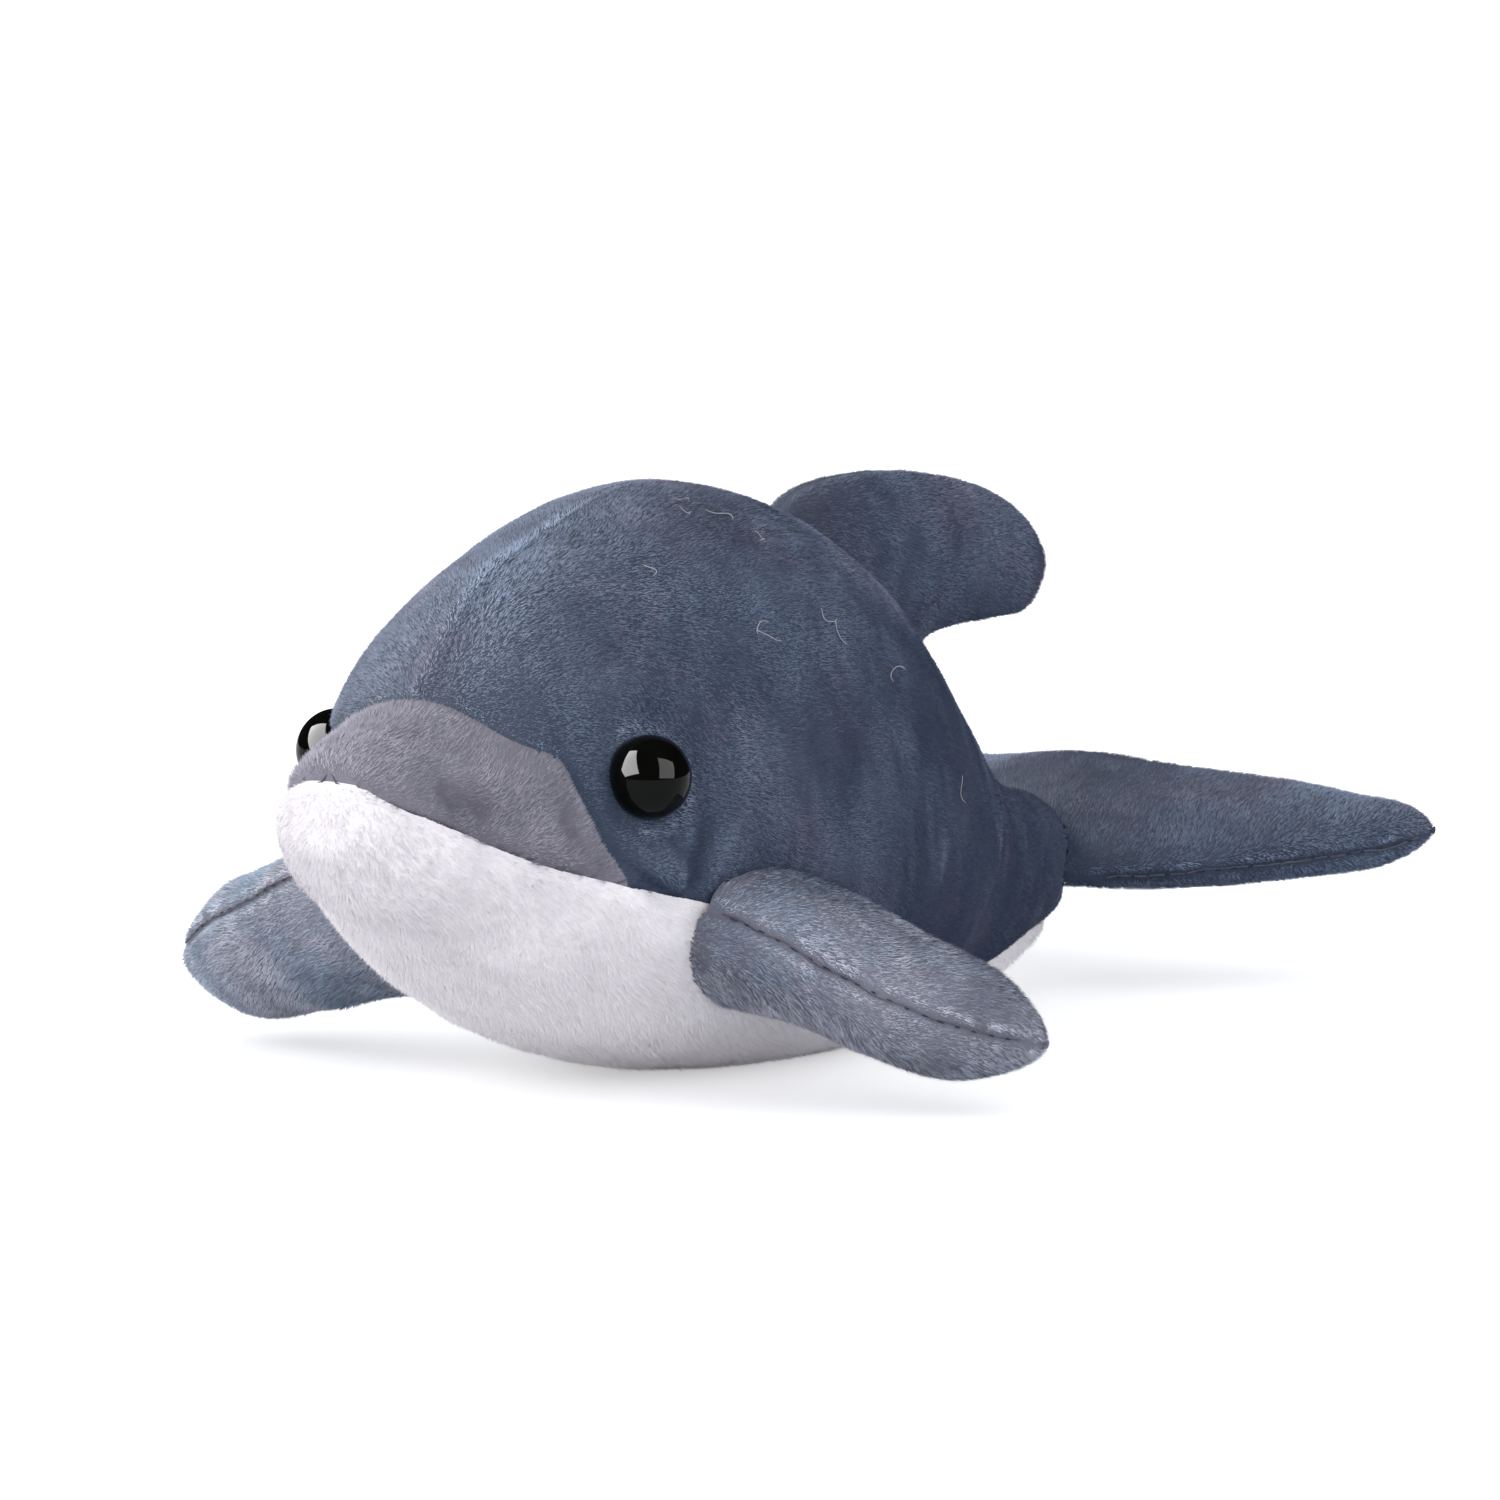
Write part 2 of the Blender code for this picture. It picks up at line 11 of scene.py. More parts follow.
import bpy
import numpy as np
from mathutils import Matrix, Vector


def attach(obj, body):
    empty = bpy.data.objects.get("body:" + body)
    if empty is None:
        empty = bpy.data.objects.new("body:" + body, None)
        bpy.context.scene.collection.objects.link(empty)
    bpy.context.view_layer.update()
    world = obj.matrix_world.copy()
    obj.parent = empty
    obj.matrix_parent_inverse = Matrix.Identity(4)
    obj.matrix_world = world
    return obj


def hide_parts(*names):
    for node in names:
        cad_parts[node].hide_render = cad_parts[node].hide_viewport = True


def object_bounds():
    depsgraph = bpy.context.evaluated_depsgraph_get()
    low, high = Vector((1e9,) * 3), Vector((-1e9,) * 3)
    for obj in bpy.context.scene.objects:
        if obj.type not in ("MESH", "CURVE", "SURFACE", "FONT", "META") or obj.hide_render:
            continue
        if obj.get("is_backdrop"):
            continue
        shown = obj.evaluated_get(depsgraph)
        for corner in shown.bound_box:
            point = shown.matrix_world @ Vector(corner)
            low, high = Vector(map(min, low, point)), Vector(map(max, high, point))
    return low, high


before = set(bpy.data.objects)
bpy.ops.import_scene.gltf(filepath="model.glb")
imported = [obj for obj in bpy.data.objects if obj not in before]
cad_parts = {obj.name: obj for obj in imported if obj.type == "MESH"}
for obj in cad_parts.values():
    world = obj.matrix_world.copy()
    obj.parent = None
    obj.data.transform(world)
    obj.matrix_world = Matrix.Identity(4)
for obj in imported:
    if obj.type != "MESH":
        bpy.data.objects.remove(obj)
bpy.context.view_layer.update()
MM = 0.001

# %% [markdown]
# ## The camera
#
# A long lens, a little over a metre away, looks at the toy from its front left and
# just above the table. The eyes, the flipper tips and the floor line fix the angle. A
# short lens up close would swell the nose, which the photo doesn't show.

# %% The camera
ROUND, UP = math.radians(34.0), math.radians(7.3)
DISTANCE = 1.2
LOOK_AT = Vector((-0.0007, -0.0001, 0.0360))
back_to_lens = Vector(
    (math.sin(ROUND) * math.cos(UP), -math.cos(ROUND) * math.cos(UP), math.sin(UP))
)
lens = bpy.data.cameras.new("photo_camera")
lens.sensor_width = 36
lens.lens = 235.6
lens.clip_start = 0.05
camera = bpy.data.objects.new("photo_camera", lens)
bpy.context.scene.collection.objects.link(camera)
camera.location = LOOK_AT + back_to_lens * DISTANCE
camera.rotation_euler = back_to_lens.to_track_quat("Z", "Y").to_euler()
bpy.context.scene.camera = camera
print("camera at", [round(v, 3) for v in camera.location])

# %% [markdown]
# ## The shape of the body
#
# A stuffed body is a smooth bag. Sections across it, from the nose to the end of the
# tail stock, give its half width and the heights of its top, its widest line and its
# underside, and a smooth curve joins them. The same sections make the CAD solids.

# %% Sections of the body
BODY_LENGTH, BODY_WIDTH, BODY_HEIGHT = 158.0 * MM, 60.0 * MM, 72.5 * MM
NOSE_Y = -90.4 * MM
FULLNESS_OVER, FULLNESS_UNDER = 1.97, 1.95
SECTIONS = [
    (0.000, 0.00, 0.48, 0.48, 0.48),
    (0.014, 0.24, 0.596, 0.515, 0.43),
    (0.052, 0.38, 0.64, 0.482, 0.35),
    (0.115, 0.547, 0.682, 0.435, 0.28),
    (0.200, 0.797, 0.847, 0.407, 0.155),
    (0.300, 0.96, 0.935, 0.376, 0.052),
    (0.400, 1.00, 0.984, 0.37, 0.00),
    (0.510, 1.00, 0.955, 0.36, -0.035),
    (0.620, 0.88, 0.855, 0.335, -0.04),
    (0.720, 0.67, 0.68, 0.295, -0.04),
    (0.810, 0.475, 0.49, 0.25, -0.03),
    (0.890, 0.34, 0.38, 0.22, 0.02),
    (0.960, 0.26, 0.335, 0.22, 0.09),
    (1.000, 0.00, 0.22, 0.22, 0.22),
]


def read_curve(values, t):
    """A smooth curve through evenly spaced values, which has one more at each end."""
    values, t = np.asarray(values, float), np.asarray(t, float)
    i = np.clip(t.astype(int), 0, len(values) - 4)
    f = t - i
    if values.ndim > 1:
        f = f[..., None]
    a, b, c, d = values[i], values[i + 1], values[i + 2], values[i + 3]
    return 0.5 * (
        2 * b
        + (c - a) * f
        + (2 * a - 5 * b + 4 * c - d) * f**2
        + (3 * b - a - 3 * c + d) * f**3
    )


def body_rows():
    """The sections in metres, with one more at each end for the smooth curve."""
    rows = []
    for along, half, *heights in SECTIONS:
        row = [NOSE_Y + along * BODY_LENGTH, half * BODY_WIDTH / 2]
        rows.append(row + [h * BODY_HEIGHT for h in heights])
    first, last = rows[1], rows[-2]
    before = [first[0], -first[1], first[4], first[3], first[2]]
    after = [last[0], -last[1], last[4], last[3], last[2]]
    return np.array([before] + rows + [after])


ROWS = body_rows()
BODY_END = len(SECTIONS) - 1.0


def signed_power(value, power):
    return np.sign(value) * np.abs(value) ** power


def bare_skin(t, angle):
    """Points of the body at section t and an angle above its side."""
    y, half, top, wide, under = np.moveaxis(read_curve(ROWS, t), -1, 0)
    power = 2 / np.where(np.sin(angle) > 0, FULLNESS_OVER, FULLNESS_UNDER)
    x = half * signed_power(np.cos(angle), power)
    rise = signed_power(np.sin(angle), power)
    z = wide + rise * np.where(rise > 0, top - wide, wide - under)
    return np.stack([x, y, z], -1)


def section_at(y):
    """The section number at this place along the body."""
    t = np.linspace(0, BODY_END, 600)
    return np.interp(y, read_curve(ROWS[:, 0], t), t)


def depth_in_body(points):
    """About how far points lie inside the body's surface, negative outside."""
    x, y, z = np.moveaxis(points, -1, 0)
    _, half, top, wide, under = np.moveaxis(read_curve(ROWS, section_at(y)), -1, 0)
    reach = np.where(z > wide, top - wide, wide - under)
    full = np.where(z > wide, FULLNESS_OVER, FULLNESS_UNDER)
    share = np.abs(x / np.maximum(half, 1e-5)) ** full
    share = share + np.abs((z - wide) / np.maximum(reach, 1e-5)) ** full
    return (1 - share ** (1 / full)) * np.minimum(half, reach)


print("sections:", len(SECTIONS), "length:", BODY_LENGTH)

# %% [markdown]
# ## Seats of the eyes
#
# A clipped eye presses the cloth flat and pulls it a little way into the head. A
# sculpting brush would do it by eye. Here each point near an eye is moved along the
# eye's own axis onto one plane, so that the dome sits flat on the cloth.

# %% Eye seats
EYE_ALONG, EYE_UP = 0.219, 0.56  # shares of the body's length and height
EYE_RADIUS, EYE_DOME, EYE_SKIRT = 5.0 * MM, 5.0 * MM, 0.8 * MM
EYE_SINK, SEAT_EDGE, PULL_EDGE = 2.3 * MM, 6.0 * MM, 13.0 * MM
GAP = 0.3 * MM


def unit(v):
    """Vectors at a length of 1."""
    return v / np.maximum(np.linalg.norm(v, axis=-1, keepdims=True), 1e-12)


def outward(surface, t, angle, step=0.01):
    """The direction that a surface faces, from how it runs both ways."""
    along = surface(t + step, angle) - surface(t - step, angle)
    round_it = surface(t, angle + step) - surface(t, angle - step)
    return unit(np.cross(along, round_it))


def find_eye():
    """Where the left eye sits on the head, and which way it looks."""
    t = section_at(NOSE_Y + EYE_ALONG * BODY_LENGTH)
    angles = np.linspace(0, math.pi / 2, 2000)
    heights = bare_skin(np.full_like(angles, t), angles)[:, 2]
    angle = angles[np.searchsorted(heights, EYE_UP * BODY_HEIGHT)]
    out = outward(bare_skin, np.array(t), np.array(angle))
    return bare_skin(np.array(t), np.array(angle)) - out * EYE_SINK, out


EYE_CENTRE, EYE_OUT = find_eye()
FLIP = np.array([-1.0, 1.0, 1.0])
EYES = {"left": (EYE_CENTRE, EYE_OUT), "right": (EYE_CENTRE * FLIP, EYE_OUT * FLIP)}


def smooth_step(value):
    """0 below 0 and 1 above 1, with a soft rise in between."""
    value = np.clip(value, 0, 1)
    return value * value * (3 - 2 * value)


def pulled_skin(t, angle):
    """Points of the body with a flat seat pulled in round each eye."""
    point = bare_skin(t, angle)
    for centre, out in EYES.values():
        offset = point - centre
        height = offset @ out
        reach = np.linalg.norm(offset - height[..., None] * out, axis=-1)
        pull = 1 - smooth_step((reach - SEAT_EDGE) / (PULL_EDGE - SEAT_EDGE))
        pull = np.where(np.abs(height) < PULL_EDGE, pull, 0)
        point = point - out * (height * pull)[..., None]
    return point


print("left eye at", np.round(EYE_CENTRE, 4))

# %% [markdown]
# ## Seams of the body
#
# Four cloths make the body: a white one from the chin to the tail, a grey one over
# the upper jaw, and two blue ones that meet along the back. Each seam is drawn as it
# looks from the side. A seam pulls the cloth in and leaves a soft valley.

# %% Seam lines
CHIN_SEAM = [
    (-0.05, 0.625),
    (0.00, 0.60),
    (0.03, 0.547),
    (0.08, 0.487),
    (0.15, 0.413),
    (0.26, 0.342),
    (0.38, 0.28),
    (0.50, 0.22),
    (0.64, 0.125),
    (0.80, 0.07),
    (0.97, 0.12),
    (1.05, 0.13),
]
SNOUT_SEAM = [(0.205, 0.30), (0.183, 0.45), (0.162, 0.59), (0.124, 0.69), (0.10, 1.10)]


def side_curve(points):
    """A smooth seam line through (along, up) points, as the side view shows it."""
    points = np.array(points, float)
    ends = [2 * points[0] - points[1], *points, 2 * points[-1] - points[-2]]
    line = read_curve(np.array(ends), np.linspace(0, len(points) - 1, 200))
    return NOSE_Y + line[:, 0] * BODY_LENGTH, line[:, 1] * BODY_HEIGHT


CHIN_Y, CHIN_Z = side_curve(CHIN_SEAM)
SNOUT_Y, SNOUT_Z = side_curve(SNOUT_SEAM)


def above_chin(points):
    return points[..., 2] - np.interp(points[..., 1], CHIN_Y, CHIN_Z)


def behind_snout(points):
    return points[..., 1] - np.interp(points[..., 2], SNOUT_Z, SNOUT_Y)


def seam_offset(side_of, points, normals):
    """How far points on the cloth are from a seam along the cloth, and which way."""
    step = 0.2 * MM
    slope = []
    for axis in range(3):
        shift = np.zeros(3)
        shift[axis] = step
        slope.append((side_of(points + shift) - side_of(points - shift)) / (2 * step))
    slope = np.stack(slope, -1)
    slope = slope - normals * np.sum(slope * normals, -1, keepdims=True)
    steep = np.maximum(np.linalg.norm(slope, axis=-1), 0.15)
    return side_of(points) / steep, slope / steep[..., None]


def valley(distance, width):
    """1 on a line, falling softly to 0 at about twice this width from it."""
    return np.exp(-((distance / width) ** 2))


print("seam points:", len(CHIN_SEAM) + len(SNOUT_SEAM))

# %% [markdown]
# ## Folds
#
# The cloth also folds where it is pulled: from each eye down to the flipper, across
# the upper jaw, down the flank, and round the tail stock. Folds could be sculpted or
# left to a cloth simulation. Here each is a short line on the surface with its own
# depth and width, so that it sits where the photo shows it.

# %% Fold lines
FOLDS = [
    # depth and width in mm, then (along, up) points
    (1.35, 0.9, [(0.180, 0.485), (0.196, 0.425), (0.209, 0.385), (0.232, 0.350)]),
    (-0.7, 1.4, [(0.214, 0.480), (0.224, 0.425), (0.238, 0.366)]),
    (1.2, 0.9, [(0.259, 0.525), (0.254, 0.461), (0.250, 0.420), (0.243, 0.352)]),
    (-0.3, 1.2, [(0.280, 0.500), (0.272, 0.430), (0.262, 0.370)]),
    (0.6, 2.4, [(0.259, 0.525), (0.250, 0.420), (0.243, 0.352)]),
    (1.0, 1.8, [(0.062, 0.580), (0.079, 0.542), (0.103, 0.51)]),
    (0.7, 1.5, [(0.146, 0.532), (0.156, 0.47), (0.165, 0.434)]),
    (1.45, 1.1, [(0.865, 0.40), (0.858, 0.303), (0.840, 0.236), (0.795, 0.120)]),
    (1.25, 1.0, [(0.92, 0.34), (0.925, 0.25), (0.910, 0.15)]),
    (-0.6, 1.1, [(0.892, 0.37), (0.890, 0.30), (0.877, 0.20)]),
    (1.0, 1.1, [(0.77, 0.450), (0.757, 0.336), (0.729, 0.250), (0.675, 0.150)]),
    (0.5, 1.5, [(0.580, 0.36), (0.562, 0.26), (0.540, 0.190)]),
    (0.45, 1.4, [(0.680, 0.54), (0.674, 0.41), (0.655, 0.300)]),
]


def on_flank(along, up):
    """The point of the left flank that the side view shows at this place."""
    y, z = NOSE_Y + along * BODY_LENGTH, up * BODY_HEIGHT
    _, half, top, wide, under = read_curve(ROWS, section_at(y))
    reach, full = (top - wide, FULLNESS_OVER) if z > wide else (wide - under, FULLNESS_UNDER)
    share = min(abs(z - wide) / reach, 1)
    return np.array([half * (1 - share**full) ** (1 / full), y, z])


def line_distance(points, line):
    """Distance of points from a line of corners, and how far along it they are."""
    best = np.full(len(points), 1.0)
    place = np.zeros(len(points))
    lengths = np.linalg.norm(np.diff(line, axis=0), axis=1)
    starts = np.concatenate([[0], np.cumsum(lengths)])
    for a, b, start, length in zip(line, line[1:], starts, lengths):
        f = np.clip((points - a) @ (b - a) / length**2, 0, 1)
        d = np.linalg.norm(points - (a + f[:, None] * (b - a)), axis=1)
        place = np.where(d < best, (start + f * length) / starts[-1], place)
        best = np.minimum(best, d)
    return best, place


def fold_depth(points):
    """How deep the folds press the cloth in at these points."""
    total = np.zeros(len(points))
    for depth, width, places in FOLDS:
        line = np.array([on_flank(*place) for place in places])
        for side in (1, -1):
            d, place = line_distance(points * np.array([side, 1, 1]), line)
            ends = smooth_step(place * 4) * smooth_step((1 - place) * 4)
            pressed = valley(d, width * MM) - 0.45 * valley(d - 2.2 * width * MM, width * MM)
            total += depth * MM * pressed * (0.25 + 0.75 * ends)
    return total


print("folds:", len(FOLDS))

# %% [markdown]
# ## Soft chance
#
# Handmade cloth is uneven in a smooth way: its lumps, its colour and the way its pile
# lies drift slowly from place to place. A lattice of seeded random numbers, read
# smoothly, gives such a drift, and the same one on every run.

# %% Smooth noise
def soft_noise(points, size, seed):
    """Smooth values from about -1 to 1 that change over this distance."""
    cells = 32
    table = np.random.default_rng(seed).uniform(-1, 1, (cells, cells, cells))
    place = points / size + 1000
    low = np.floor(place).astype(int)
    share = smooth_step(place - low)
    total = np.zeros(points.shape[:-1])
    for corner in range(8):
        bits = np.array([corner & 1, corner >> 1 & 1, corner >> 2])
        weight = np.prod(np.where(bits, share, 1 - share), axis=-1)
        i, j, k = np.moveaxis((low + bits) % cells, -1, 0)
        total += weight * table[i, j, k]
    return total * 1.4


print("noise at the left eye:", round(float(soft_noise(EYE_CENTRE, 10 * MM, 1)), 3))

# %% [markdown]
# ## Meshes from points
#
# Every piece below is a list of points and triangles, so one small helper makes the
# objects, gives them their materials and hangs them on the toy.

# %% Mesh helpers
def add_piece(name, points, triangles, looks, which=None):
    """A mesh piece of the toy. which gives each triangle its place in looks."""
    mesh = bpy.data.meshes.new(name)
    count = len(triangles)
    mesh.vertices.add(len(points))
    mesh.vertices.foreach_set("co", np.ascontiguousarray(points, np.float32).ravel())
    mesh.loops.add(3 * count)
    mesh.loops.foreach_set("vertex_index", np.asarray(triangles, np.int32).ravel())
    mesh.polygons.add(count)
    mesh.polygons.foreach_set("loop_start", np.arange(0, 3 * count, 3, dtype=np.int32))
    for look in looks:
        mesh.materials.append(look)
    if which is not None:
        mesh.polygons.foreach_set("material_index", np.asarray(which, np.int32))
    mesh.polygons.foreach_set("use_smooth", np.ones(count, bool))
    mesh.update(calc_edges=True)
    piece = bpy.data.objects.new(name, mesh)
    bpy.context.scene.collection.objects.link(piece)
    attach(piece, "root")
    return piece


def used_only(points, triangles, *values):
    """Drops the points that no triangle uses, and their values."""
    used, index = np.unique(triangles, return_inverse=True)
    return points[used], index.reshape(-1, 3), *[value[used] for value in values]


def point_normals(points, triangles):
    """The direction that the surface faces at each point."""
    a, b, c = np.moveaxis(points[triangles], 1, 0)
    faces = np.cross(b - a, c - a)
    total = np.zeros_like(points)
    for corner in range(3):
        for axis in range(3):
            total[:, axis] += np.bincount(
                triangles[:, corner], faces[:, axis], minlength=len(points)
            )
    return unit(total)


print("meshes from the frame:", len(bpy.data.meshes))

# %% [markdown]
# ## Cloth colours
#
# Dyed plush is never one flat colour: the knitted backing shows darker between the
# hairs and the dye varies in soft clouds. Each cloth gets a noise pattern between two
# tones of its own, and a fine bump for the roots of the pile.

# %% Cloth materials
def cloth_material(name, dark, light, size=9.0):
    """A dull cloth in clouds of two tones, with clouds of this size in mm."""
    made = bpy.data.materials.new(name)
    made.use_nodes = True
    nodes, links = made.node_tree.nodes, made.node_tree.links
    shader = nodes["Principled BSDF"]
    shader.inputs["Roughness"].default_value = 0.95
    shader.inputs["Specular IOR Level"].default_value = 0.15
    place = nodes.new("ShaderNodeTexCoord")
    cloud = nodes.new("ShaderNodeTexNoise")
    cloud.inputs["Scale"].default_value = 1000 / size
    cloud.inputs["Detail"].default_value = 4
    tone = nodes.new("ShaderNodeValToRGB")
    tone.color_ramp.elements[0].position = 0.3
    tone.color_ramp.elements[0].color = (*dark, 1)
    tone.color_ramp.elements[1].position = 0.7
    tone.color_ramp.elements[1].color = (*light, 1)
    fine = nodes.new("ShaderNodeTexNoise")
    fine.inputs["Scale"].default_value = 2600
    fine.inputs["Detail"].default_value = 2
    bump = nodes.new("ShaderNodeBump")
    bump.inputs["Strength"].default_value = 0.5
    bump.inputs["Distance"].default_value = 0.0004
    links.new(place.outputs["Object"], cloud.inputs["Vector"])
    links.new(place.outputs["Object"], fine.inputs["Vector"])
    links.new(cloud.outputs["Fac"], tone.inputs["Fac"])
    links.new(tone.outputs["Color"], shader.inputs["Base Color"])
    links.new(fine.outputs["Fac"], bump.inputs["Height"])
    links.new(bump.outputs["Normal"], shader.inputs["Normal"])
    return made


back_cloth = cloth_material("back_cloth", (0.026, 0.038, 0.066), (0.048, 0.064, 0.100))
snout_cloth = cloth_material("snout_cloth", (0.12, 0.117, 0.145), (0.20, 0.19, 0.23))
fin_cloth = cloth_material("fin_cloth", (0.10, 0.105, 0.14), (0.18, 0.18, 0.225))
belly_cloth = cloth_material("belly_cloth", (0.78, 0.74, 0.77), (0.88, 0.85, 0.87))
print("cloths:", [m.name for m in (back_cloth, snout_cloth, fin_cloth, belly_cloth)])

# %% [markdown]
# ## Fins
#
# Each fin is two cloths sewn round their edge and stuffed, so a section across it is
# a plump lens. Rows of front edge, back edge and swell run from the root to the tip,
# with the same values as the solids.

# %% Fin rows
FLIPPER_ROOT = (0.72, 0.32, 0.175)
FLIPPER_SPAN, FLIPPER_CHORD, FLIPPER_THICKNESS = 39.5 * MM, 27.0 * MM, 19.0 * MM
FLIPPER_ROWS = [
    (-0.13, -0.395, 0.725, 0.555, 0.21, 0.43, 0.53),
    (0.25, -0.33, 0.54, 0.61, 0.10, 0.43, 0.48),
    (0.53, -0.16, 0.215, 0.65, -0.005, 0.37, 0.48),
    (0.79, 0.04, -0.05, 0.61, -0.13, 0.33, 0.40),
    (1.01, 0.37, -0.20, 0.37, -0.20, 0.00, 0.00),
]
RIGHT_FLIPPER_ROWS = [
    (-0.13, -0.395, 0.725, 0.555, 0.21, 0.43, 0.64),
    (0.25, -0.39, 0.62, 0.58, 0.03, 0.43, 0.60),
    (0.53, -0.27, 0.38, 0.60, -0.14, 0.39, 0.53),
    (0.79, -0.10, 0.15, 0.54, -0.26, 0.35, 0.45),
    (1.01, 0.21, -0.14, 0.21, -0.14, 0.00, 0.00),
]
FIN_BASE, FIN_LENGTH, FIN_HEIGHT = 0.605, 48.0 * MM, 19.0 * MM
FIN_THICKNESS, FIN_LEAN = 12.0 * MM, 7.0 * MM
FIN_ROWS = [
    (-0.11, -0.14, 0.48, -1.10, 0.50),
    (0.05, 0.22, 0.58, -0.90, 0.54),
    (0.36, 0.30, 0.70, -0.84, 0.50),
    (0.68, 0.21, 0.82, -0.82, 0.44),
    (0.90, -0.01, 0.95, -0.77, 0.36),
    (1.02, -0.40, 1.02, -0.40, 0.00),
]
FLUKE_ROOT = 0.93
FLUKE_SPAN, FLUKE_CHORD, FLUKE_THICKNESS = 92.0 * MM, 26.0 * MM, 11.0 * MM
FLUKE_ROWS = [
    (0.00, -0.04, -0.20, 0.96, 0.95, 0.45, 0.45),
    (0.41, 0.19, -0.11, 1.27, 0.70, 0.45, 0.50),
    (0.73, 0.61, 0.05, 1.27, 0.58, 0.38, 0.45),
    (0.91, 0.92, 0.18, 1.26, 0.50, 0.32, 0.36),
    (1.00, 1.16, 0.36, 1.16, 0.36, 0.00, 0.00),
]
TO_RIGHT = np.array([-1, 1, 1, -1, 1, 1, 1, 1])


def spread_rows(rows, root, scale):
    """Rows as front point, back point, swell up and swell down, in metres."""
    made = []
    for across, front_y, front_z, back_y, back_z, rise, drop in rows:
        front = root + np.array([across, front_y, front_z]) * scale
        back = root + np.array([across, back_y, back_z]) * scale
        made.append([*front, *back, rise * scale[2], drop * scale[2]])
    return np.array(made)


def fin_rows():
    base = bare_skin(section_at(NOSE_Y + FIN_BASE * BODY_LENGTH), np.array(math.pi / 2))
    made = []
    for front_y, front_z, back_y, back_z, swell in FIN_ROWS:
        ends = []
        for y, z in ((front_y, front_z), (back_y, back_z)):
            lean = FIN_LEAN * max(0, y) ** 2
            ends.extend(base + np.array([lean, y * FIN_LENGTH, z * FIN_HEIGHT]))
        made.append([*ends, swell * FIN_THICKNESS, swell * FIN_THICKNESS])
    return np.array(made)


half_share, along_share, up_share = FLIPPER_ROOT
flipper_root = np.array(
    [half_share * BODY_WIDTH / 2, NOSE_Y + along_share * BODY_LENGTH, up_share * BODY_HEIGHT]
)
flipper_scale = np.array([FLIPPER_SPAN, FLIPPER_CHORD, FLIPPER_THICKNESS])
left_flipper = spread_rows(FLIPPER_ROWS, flipper_root, flipper_scale)
right_flipper = spread_rows(RIGHT_FLIPPER_ROWS, flipper_root, flipper_scale) * TO_RIGHT
fluke_section = read_curve(ROWS, section_at(NOSE_Y + FLUKE_ROOT * BODY_LENGTH))
fluke_root = np.array([0, fluke_section[0], fluke_section[3]])
fluke_scale = np.array([FLUKE_SPAN / 2, FLUKE_CHORD, FLUKE_THICKNESS])
left_fluke = spread_rows(FLUKE_ROWS, fluke_root, fluke_scale)
both_flukes = np.concatenate([(left_fluke * TO_RIGHT)[:0:-1], left_fluke])
print("fin rows:", len(FLIPPER_ROWS), len(FIN_ROWS), len(FLUKE_ROWS))

# %% [markdown]
# ## The skin of a fin
#
# A fin's skin runs from its front edge over the top to its back edge and home along
# the underside, like an inner tube pressed flat. Two planes could be pulled into this
# shape by hand. A formula round the rows keeps the skin on the solid, and pinches the
# sewn edge in by the same amount all the way.

# %% Fin cloths
SET_IN = 0.4 * MM  # the pile stands this much above the cloth's backing


def pouch_surface(rows, open_start, upright, s, turn):
    """Points of a stuffed pouch: s along its rows, turn round from the front edge."""
    def beyond(row):
        return np.concatenate([row[3:6], row[0:3], -row[6:8]])

    before = 2 * rows[0] - rows[1] if open_start else beyond(rows[1])
    table = np.concatenate([[before], rows, [beyond(rows[-2])]])
    step = 0.05
    t = np.clip(s, step, len(rows) - 1 - step)
    ahead, behind = read_curve(table, t + step), read_curve(table, t - step)
    middle, here = read_curve(table, t), read_curve(table, s)
    span = ahead[..., :3] + ahead[..., 3:6] - behind[..., :3] - behind[..., 3:6]
    normal = unit(np.cross(span, middle[..., 3:6] - middle[..., :3]))
    normal = normal * np.sign(normal @ np.array(upright))[..., None]
    share = ((1 - np.cos(turn)) / 2)[..., None]
    centre = here[..., :3] * (1 - share) + here[..., 3:6] * share
    rise = np.sin(turn)
    swell = np.where(rise >= 0, here[..., 6], here[..., 7])
    return centre + normal * (rise * swell)[..., None]


def grid_triangles(rows, columns):
    """Two triangles for each cell of a grid that closes round its columns."""
    i, j = np.meshgrid(np.arange(rows - 1), np.arange(columns), indexing="ij")
    k = (j + 1) % columns
    a, b = i * columns + j, i * columns + k
    c, d = (i + 1) * columns + k, (i + 1) * columns + j
    pairs = np.stack([np.stack([a, b, c], -1), np.stack([a, c, d], -1)], -2)
    return pairs.reshape(-1, 3)


